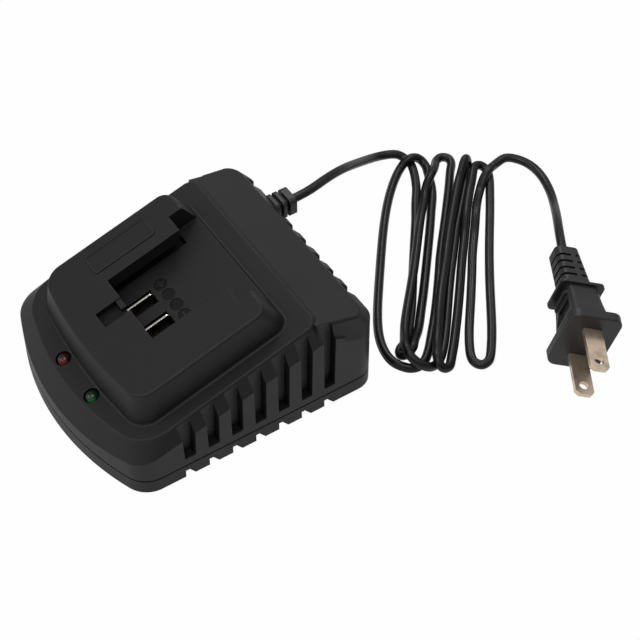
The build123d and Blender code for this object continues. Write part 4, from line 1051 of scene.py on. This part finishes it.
@dataclass
class MainsCord:
    """The mains cord from the grommet through its turns to the plug, in millimetres."""

    library: ShaderLibrary
    diameter: float = CORD_DIAMETER
    lead: tuple[Point, ...] = (
        (-22.3, 55.2, 25.4),
        (-22.3, 61.6, 25.4),
        (-27.0, 72.4, 22.4),
        (-32.0, 82.4, 17.6),
        (-37.83, 93.5, 10.1),
        (-42.85, 105.01, 3.0),
        (-40.45, 111.22, 3.0),
    )
    tail: tuple[Point, ...] = (
        (-16.39, 136.87, 3.0),
        (-17.7, 143.69, 3.0),
        (-11.88, 148.6, 2.2),
        (-4.67, 149.4, 1.7),
        (4.35, 146.69, 2.0),
        (12.47, 141.79, 4.6),
        (20.48, 136.18, 9.0),
        (32.045, 127.838, 14.016),
        (39.406, 123.588, 14.016),
    )
    turns: CoilTurns = field(default_factory=CoilTurns)
    settler: Settler = field(default_factory=Settler)
    jacket: Finish = JacketFinish("cord_jacket")
    coil_step: int = 2
    ring_steps: int = 5
    span_steps: int = 4
    spline_order: int = 3

    def build(self) -> bpy.types.Object:
        """Makes the cord as one smooth line through all its points.

        Returns:
            The cord.
        """
        points = [*self.lead[:-1], *self._coil(), *self.tail[1:]]
        curve = bpy.data.curves.new("mains_cord", "CURVE")
        curve.dimensions = "3D"
        curve.bevel_depth = self.diameter / 2 * MM
        curve.bevel_resolution = self.ring_steps
        curve.resolution_u = self.span_steps
        curve.use_fill_caps = True
        spline = curve.splines.new("NURBS")
        spline.points.add(len(points) - 1)
        for knot, point in zip(spline.points, points):
            knot.co = (*(Vector(point) * MM), 1.0)
        spline.order_u = self.spline_order
        spline.use_endpoint_u = True
        spline.use_smooth = True
        cord = bpy.data.objects.new("mains_cord", curve)
        bpy.context.scene.collection.objects.link(cord)
        curve.materials.append(self.jacket.make(self.library))
        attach(cord, BODY)
        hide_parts("cord_lead", "cord_coil", "cord_tail")
        log.info("placed mains_cord with %d points", len(points))
        return cord

    def _coil(self) -> list[Point]:
        """Lays the turns between the lead and the tail and lets them settle.

        Returns:
            The points of the turns, in millimetres.
        """
        plan, strands = self.turns.line()
        flat = np.column_stack([plan, np.full(len(plan), self.diameter / 2)])
        coarse = np.vstack([self.lead, flat, self.tail])
        before, after = np.zeros(len(self.lead)), np.zeros(len(self.tail))
        layer = np.concatenate([before, strands, after + len(self.turns.bows) - 1])
        inside = np.concatenate([before, np.ones(len(plan)), after])
        run = run_along(coarse)
        even = np.arange(0, run[-1], self.settler.spacing)
        rank = np.interp(even, run, layer)
        fixed = np.interp(even, run, inside) < 1.0
        settled = self.settler.settle(points_at(even, run, coarse), rank, fixed)
        chain = self.settler.ease(np.vstack([self.lead[-2:], settled[~fixed], self.tail[:2]]))
        return [tuple(point) for point in chain[2 * self.coil_step : -self.coil_step : self.coil_step]]


class Housing(Part):
    """The two covers, the label plate, the feet and the screws."""

    def build(self) -> None:
        """Dresses the covers and what is on them."""
        # The covers get painted highlights along their edges (edge_light) and painted shade in their recesses
        # (recess).
        plastic = MouldedFinish(
            "housing_plastic", (0.0095, 0.0095, 0.0107), roughness=0.50, grain_depth=0.030, specks=0.03,
            edge=0.35, edge_light=0.42, specular=0.33, recess=6.0,
        )
        self.dress(plastic, "top_cover")
        base = MouldedFinish(
            "base_plastic", (0.0095, 0.0095, 0.0100), roughness=0.52, grain_depth=0.030, edge=0.35,
            edge_light=0.2, specular=0.32, recess=4.0,
        )
        self.dress(base, "base_cover")
        foil = MouldedFinish(
            "label_foil", (0.0085, 0.0078, 0.0078), roughness=0.46, grain_depth=0.004, specular=0.36
        )
        self.dress(foil, "dock_label")
        rubber = MouldedFinish("foot_rubber", (0.020, 0.020, 0.020), roughness=0.75, grain_depth=0.02)
        self.dress(rubber, "rubber_feet")
        plate = MouldedFinish("plate_foil", (0.30, 0.30, 0.31), roughness=0.35, grain_depth=0.004)
        self.dress(plate, "rating_plate")
        steel = MetalFinish("screw_steel", (0.42, 0.42, 0.44), roughness=0.35)
        self.dress(steel, "housing_screws", "board_screws", "clamp_screws")


@dataclass
class LabelBorder:
    """The printed line round the label plate, in millimetres. Its centre is given in plan."""

    length: float = 23.2
    width: float = 8.3
    corner: float = 1.2
    centre: tuple[float, float] = (-22.85, -8.6)
    proud: float = 0.15
    inset: float = 0.16
    line: float = 0.34
    thickness: float = 0.04
    corner_steps: int = 8

    def loop(self, inset: float, height: float) -> list[Vector]:
        """Gives the points of a rounded rectangle that lies inside the plate's edge.

        Args:
            inset: How far inside the edge it lies.
            height: Its height over the plate.

        Returns:
            The points, in millimetres on the plate.
        """
        radius = self.corner - inset
        along, across = self.length / 2 - self.corner, self.width / 2 - self.corner
        corners = ((across, along), (-across, along), (-across, -along), (across, -along))
        points = []
        for quarter, (x, y) in enumerate(corners):
            for step in range(self.corner_steps + 1):
                angle = (quarter + step / self.corner_steps) * math.pi / 2
                points.append(Vector((x + radius * math.cos(angle), y + radius * math.sin(angle), height)))
        return points

    def shape(self) -> bmesh.types.BMesh:
        """Builds the line as a thin ring.

        Returns:
            The ring, in metres on the plate.
        """
        ring = bmesh.new()
        outer, inner, top = self.inset, self.inset + self.line, self.thickness
        loops = []
        for inset, height in ((outer, 0.0), (outer, top), (inner, top), (inner, 0.0)):
            loops.append([ring.verts.new(point * MM) for point in self.loop(inset, height)])
        count = len(loops[0])
        for one, two in zip(loops, loops[1:] + loops[:1]):
            for index in range(count):
                after = (index + 1) % count
                ring.faces.new((one[index], one[after], two[after], two[index]))
        return ring


@dataclass
class Markings(Part):
    """What is printed on the dock, and a dark sheet that paints shade on the bottom of the latch's pocket, in
    millimetres.
    """

    border: LabelBorder = field(default_factory=LabelBorder)
    mark_count: int = 4
    mark_radius: float = 2.3
    mark_pitch: float = 5.1
    mark_middle: float = -0.03
    mark_line: float = -3.0
    mark_depth: float = 0.3
    mark_steps: int = 40
    ground: float = 0.03
    pocket: tuple[tuple[float, float], tuple[float, float]] = ((-6.0, -27.0), (0.5, -19.7))
    pocket_depth: float = 2.2

    def build(self) -> None:
        """Makes the label's border, the grounds of the four marks and a dark sheet of painted shade on the
        pocket's bottom.
        """
        ink = MouldedFinish("border_ink", (0.021, 0.0155, 0.015), roughness=0.40, grain_depth=0.003)
        self.place("label_border", self._border(), ink.make(self.library), "label_foil")
        # This dark finish is the marks' own ground; on the pocket's floor it is painted shade.
        dark = MouldedFinish("mark_ground", (0.0045, 0.0045, 0.005), roughness=0.55, specular=0.2)
        ink_and_painted_shade = dark.make(self.library)
        self.place("mark_grounds", self._grounds(), ink_and_painted_shade, "housing_plastic")
        # A dark sheet on the pocket's floor paints its shade.
        self.place("pocket_shade_sheet", self._shade_sheet(), ink_and_painted_shade, "housing_plastic")

    def _border(self) -> bmesh.types.BMesh:
        """Lays the border on the label plate.

        Returns:
            The border's shape, in metres.
        """
        ring = self.border.shape()
        dock_top = slope_frame(DECK_HEIGHT + DOCK_RISE, DECK_SLOPE, *self.border.centre)
        ring.transform(dock_top @ Matrix.Translation((0, 0, self.border.proud * MM)))
        return ring

    def _grounds(self) -> bmesh.types.BMesh:
        """Lays a thin disc at the bottom of each mark.

        Returns:
            The discs, in metres.
        """
        discs = bmesh.new()
        floor = slope_frame(DECK_HEIGHT + DOCK_RISE - CHANNEL_DEPTH, DECK_SLOPE, 0.0, self.mark_line)
        for index in range(self.mark_count):
            x = self.mark_middle + (index - (self.mark_count - 1) / 2) * self.mark_pitch
            sunk = Matrix.Translation(Vector((x, 0, self.ground / 2 - self.mark_depth)) * MM)
            bmesh.ops.create_cone(
                discs, cap_ends=True, segments=self.mark_steps, radius1=self.mark_radius * MM,
                radius2=self.mark_radius * MM, depth=self.ground * MM, matrix=floor @ sunk,
            )
        return discs

    def _shade_sheet(self) -> bmesh.types.BMesh:
        """Lays a thin dark sheet on the bottom of the latch's pocket, as painted shade.

        Returns:
            The sheet, in metres.
        """
        (left, front), (right, rear) = self.pocket
        middle = ((left + right) / 2, (front + rear) / 2)
        run = (rear - front) * math.hypot(1, DECK_SLOPE)
        bottom = slope_frame(DECK_HEIGHT + DOCK_RISE - self.pocket_depth, DECK_SLOPE, *middle)
        size = Matrix.Diagonal(Vector((right - left, run, self.ground)) * MM).to_4x4()
        lifted = Matrix.Translation((0, 0, self.ground / 2 * MM))
        shade_sheet = bmesh.new()
        bmesh.ops.create_cube(shade_sheet, size=1.0, matrix=bottom @ lifted @ size)
        return shade_sheet


class Lights(Part):
    """The two indicator lights."""

    def build(self) -> None:
        """Dresses both lenses."""
        self.dress(LensFinish("red_lens", (0.035, 0.002, 0.003), (0.16, 0.006, 0.006)), "red_led")
        self.dress(LensFinish("green_lens", (0.002, 0.018, 0.009), (0.004, 0.11, 0.03)), "green_led")


class Contacts(Part):
    """The contact blades and the block that holds them."""

    def build(self) -> None:
        """Dresses the blades and their block."""
        block = MouldedFinish("terminal_plastic", (0.008, 0.008, 0.008), roughness=0.55)
        self.dress(block, "terminal_block")
        # The blades' walls get a darker colour as painted shade.
        metal = MetalFinish(
            "contact_metal", (0.80, 0.76, 0.68), roughness=0.26, turn=math.pi / 2, painted_side_shade=(0.50, 0.38, 0.35)
        )
        self.dress(metal, "positive_terminal", "negative_terminal")


class Electronics(Part):
    """Everything on the circuit board."""

    def build(self) -> None:
        """Dresses the board and its components."""
        self.dress(LaminateFinish("board_laminate"), "circuit_board")
        ferrite = MouldedFinish("core_ferrite", (0.045, 0.045, 0.050), roughness=0.6, grain_depth=0.03)
        self.dress(ferrite, "transformer_core")
        winding = WoundFinish("winding_tape", (0.62, 0.42, 0.06), (0.30, 0.18, 0.03), pitch=1.1)
        self.dress(winding, "transformer_winding")
        sleeve = MouldedFinish("can_sleeve", (0.012, 0.016, 0.045), roughness=0.3, grain_depth=0.004)
        self.dress(sleeve, "input_capacitor", "output_capacitors")
        film = MouldedFinish("film_case", (0.58, 0.42, 0.05), roughness=0.35, grain_depth=0.006)
        self.dress(film, "safety_capacitor")
        epoxy = MouldedFinish("chip_epoxy", (0.014, 0.014, 0.014), roughness=0.5, grain_depth=0.01)
        self.dress(epoxy, "bridge_rectifier", "control_chip", "power_transistor")
        sink = MetalFinish("sink_aluminium", (0.62, 0.62, 0.64), roughness=0.4, turn=math.pi / 2)
        self.dress(sink, "heat_sink")
        glass = MouldedFinish("fuse_glass", (0.55, 0.57, 0.57), roughness=0.1, grain_depth=0.001)
        self.dress(glass, "line_fuse")
        choke = WoundFinish("choke_wire", (0.42, 0.16, 0.05), (0.08, 0.03, 0.01), pitch=0.6, metallic=0.6)
        self.dress(choke, "line_choke")
        body = WoundFinish("resistor_body", (0.50, 0.36, 0.20), (0.25, 0.05, 0.02), Axis3.X, 1.6)
        self.dress(body, "resistors")
        brown = MouldedFinish("wire_brown", (0.10, 0.04, 0.015), roughness=0.4, grain_depth=0.004)
        self.dress(brown, "live_wire")
        blue = MouldedFinish("wire_blue", (0.02, 0.06, 0.22), roughness=0.4, grain_depth=0.004)
        self.dress(blue, "neutral_wire")
        clamp = MouldedFinish("clamp_plastic", (0.02, 0.02, 0.02), roughness=0.55)
        self.dress(clamp, "cord_clamp")


class Plug(Part):
    """The moulded plug with its strain relief and blades."""

    def build(self) -> list[bpy.types.Object]:
        """Dresses the plug's pieces, and the grommet, which is of the same rubber.

        Returns:
            The pieces that are on the cord.
        """
        # The plug gets painted highlights along its edges (edge_light) and painted shade in its recesses
        # (recess).
        rubber = MouldedFinish(
            "plug_plastic", (0.0185, 0.0175, 0.0175), roughness=0.44, grain_depth=0.018, edge=0.3,
            edge_light=0.3, specular=0.48, recess=3.5,
        )
        self.dress(rubber, "plug_body", "plug_strain_relief", "cord_grommet")
        brass = MetalFinish(
            "blade_brass", (0.78, 0.62, 0.48), roughness=0.34, turn=math.radians(-30.0), tarnish=0.40,
            metallic=0.85,
        )
        self.dress(brass, "plug_blade_live", "plug_blade_neutral")
        names = ("plug_body", "plug_strain_relief", "plug_blade_live", "plug_blade_neutral", "cord_grommet")
        return [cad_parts[name] for name in names]


def main() -> None:
    """Builds the whole scene, piece by piece."""
    logging.basicConfig(level=logging.INFO, format="%(name)s: %(message)s")
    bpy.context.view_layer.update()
    library = ShaderLibrary()
    Studio().build()
    cord = MainsCord(library)
    line = cord.build()
    for part in (Housing, Markings, Lights, Contacts, Electronics):
        part(library).build()
    on_it = Plug(library).build()


if __name__ == "__main__":
    main()
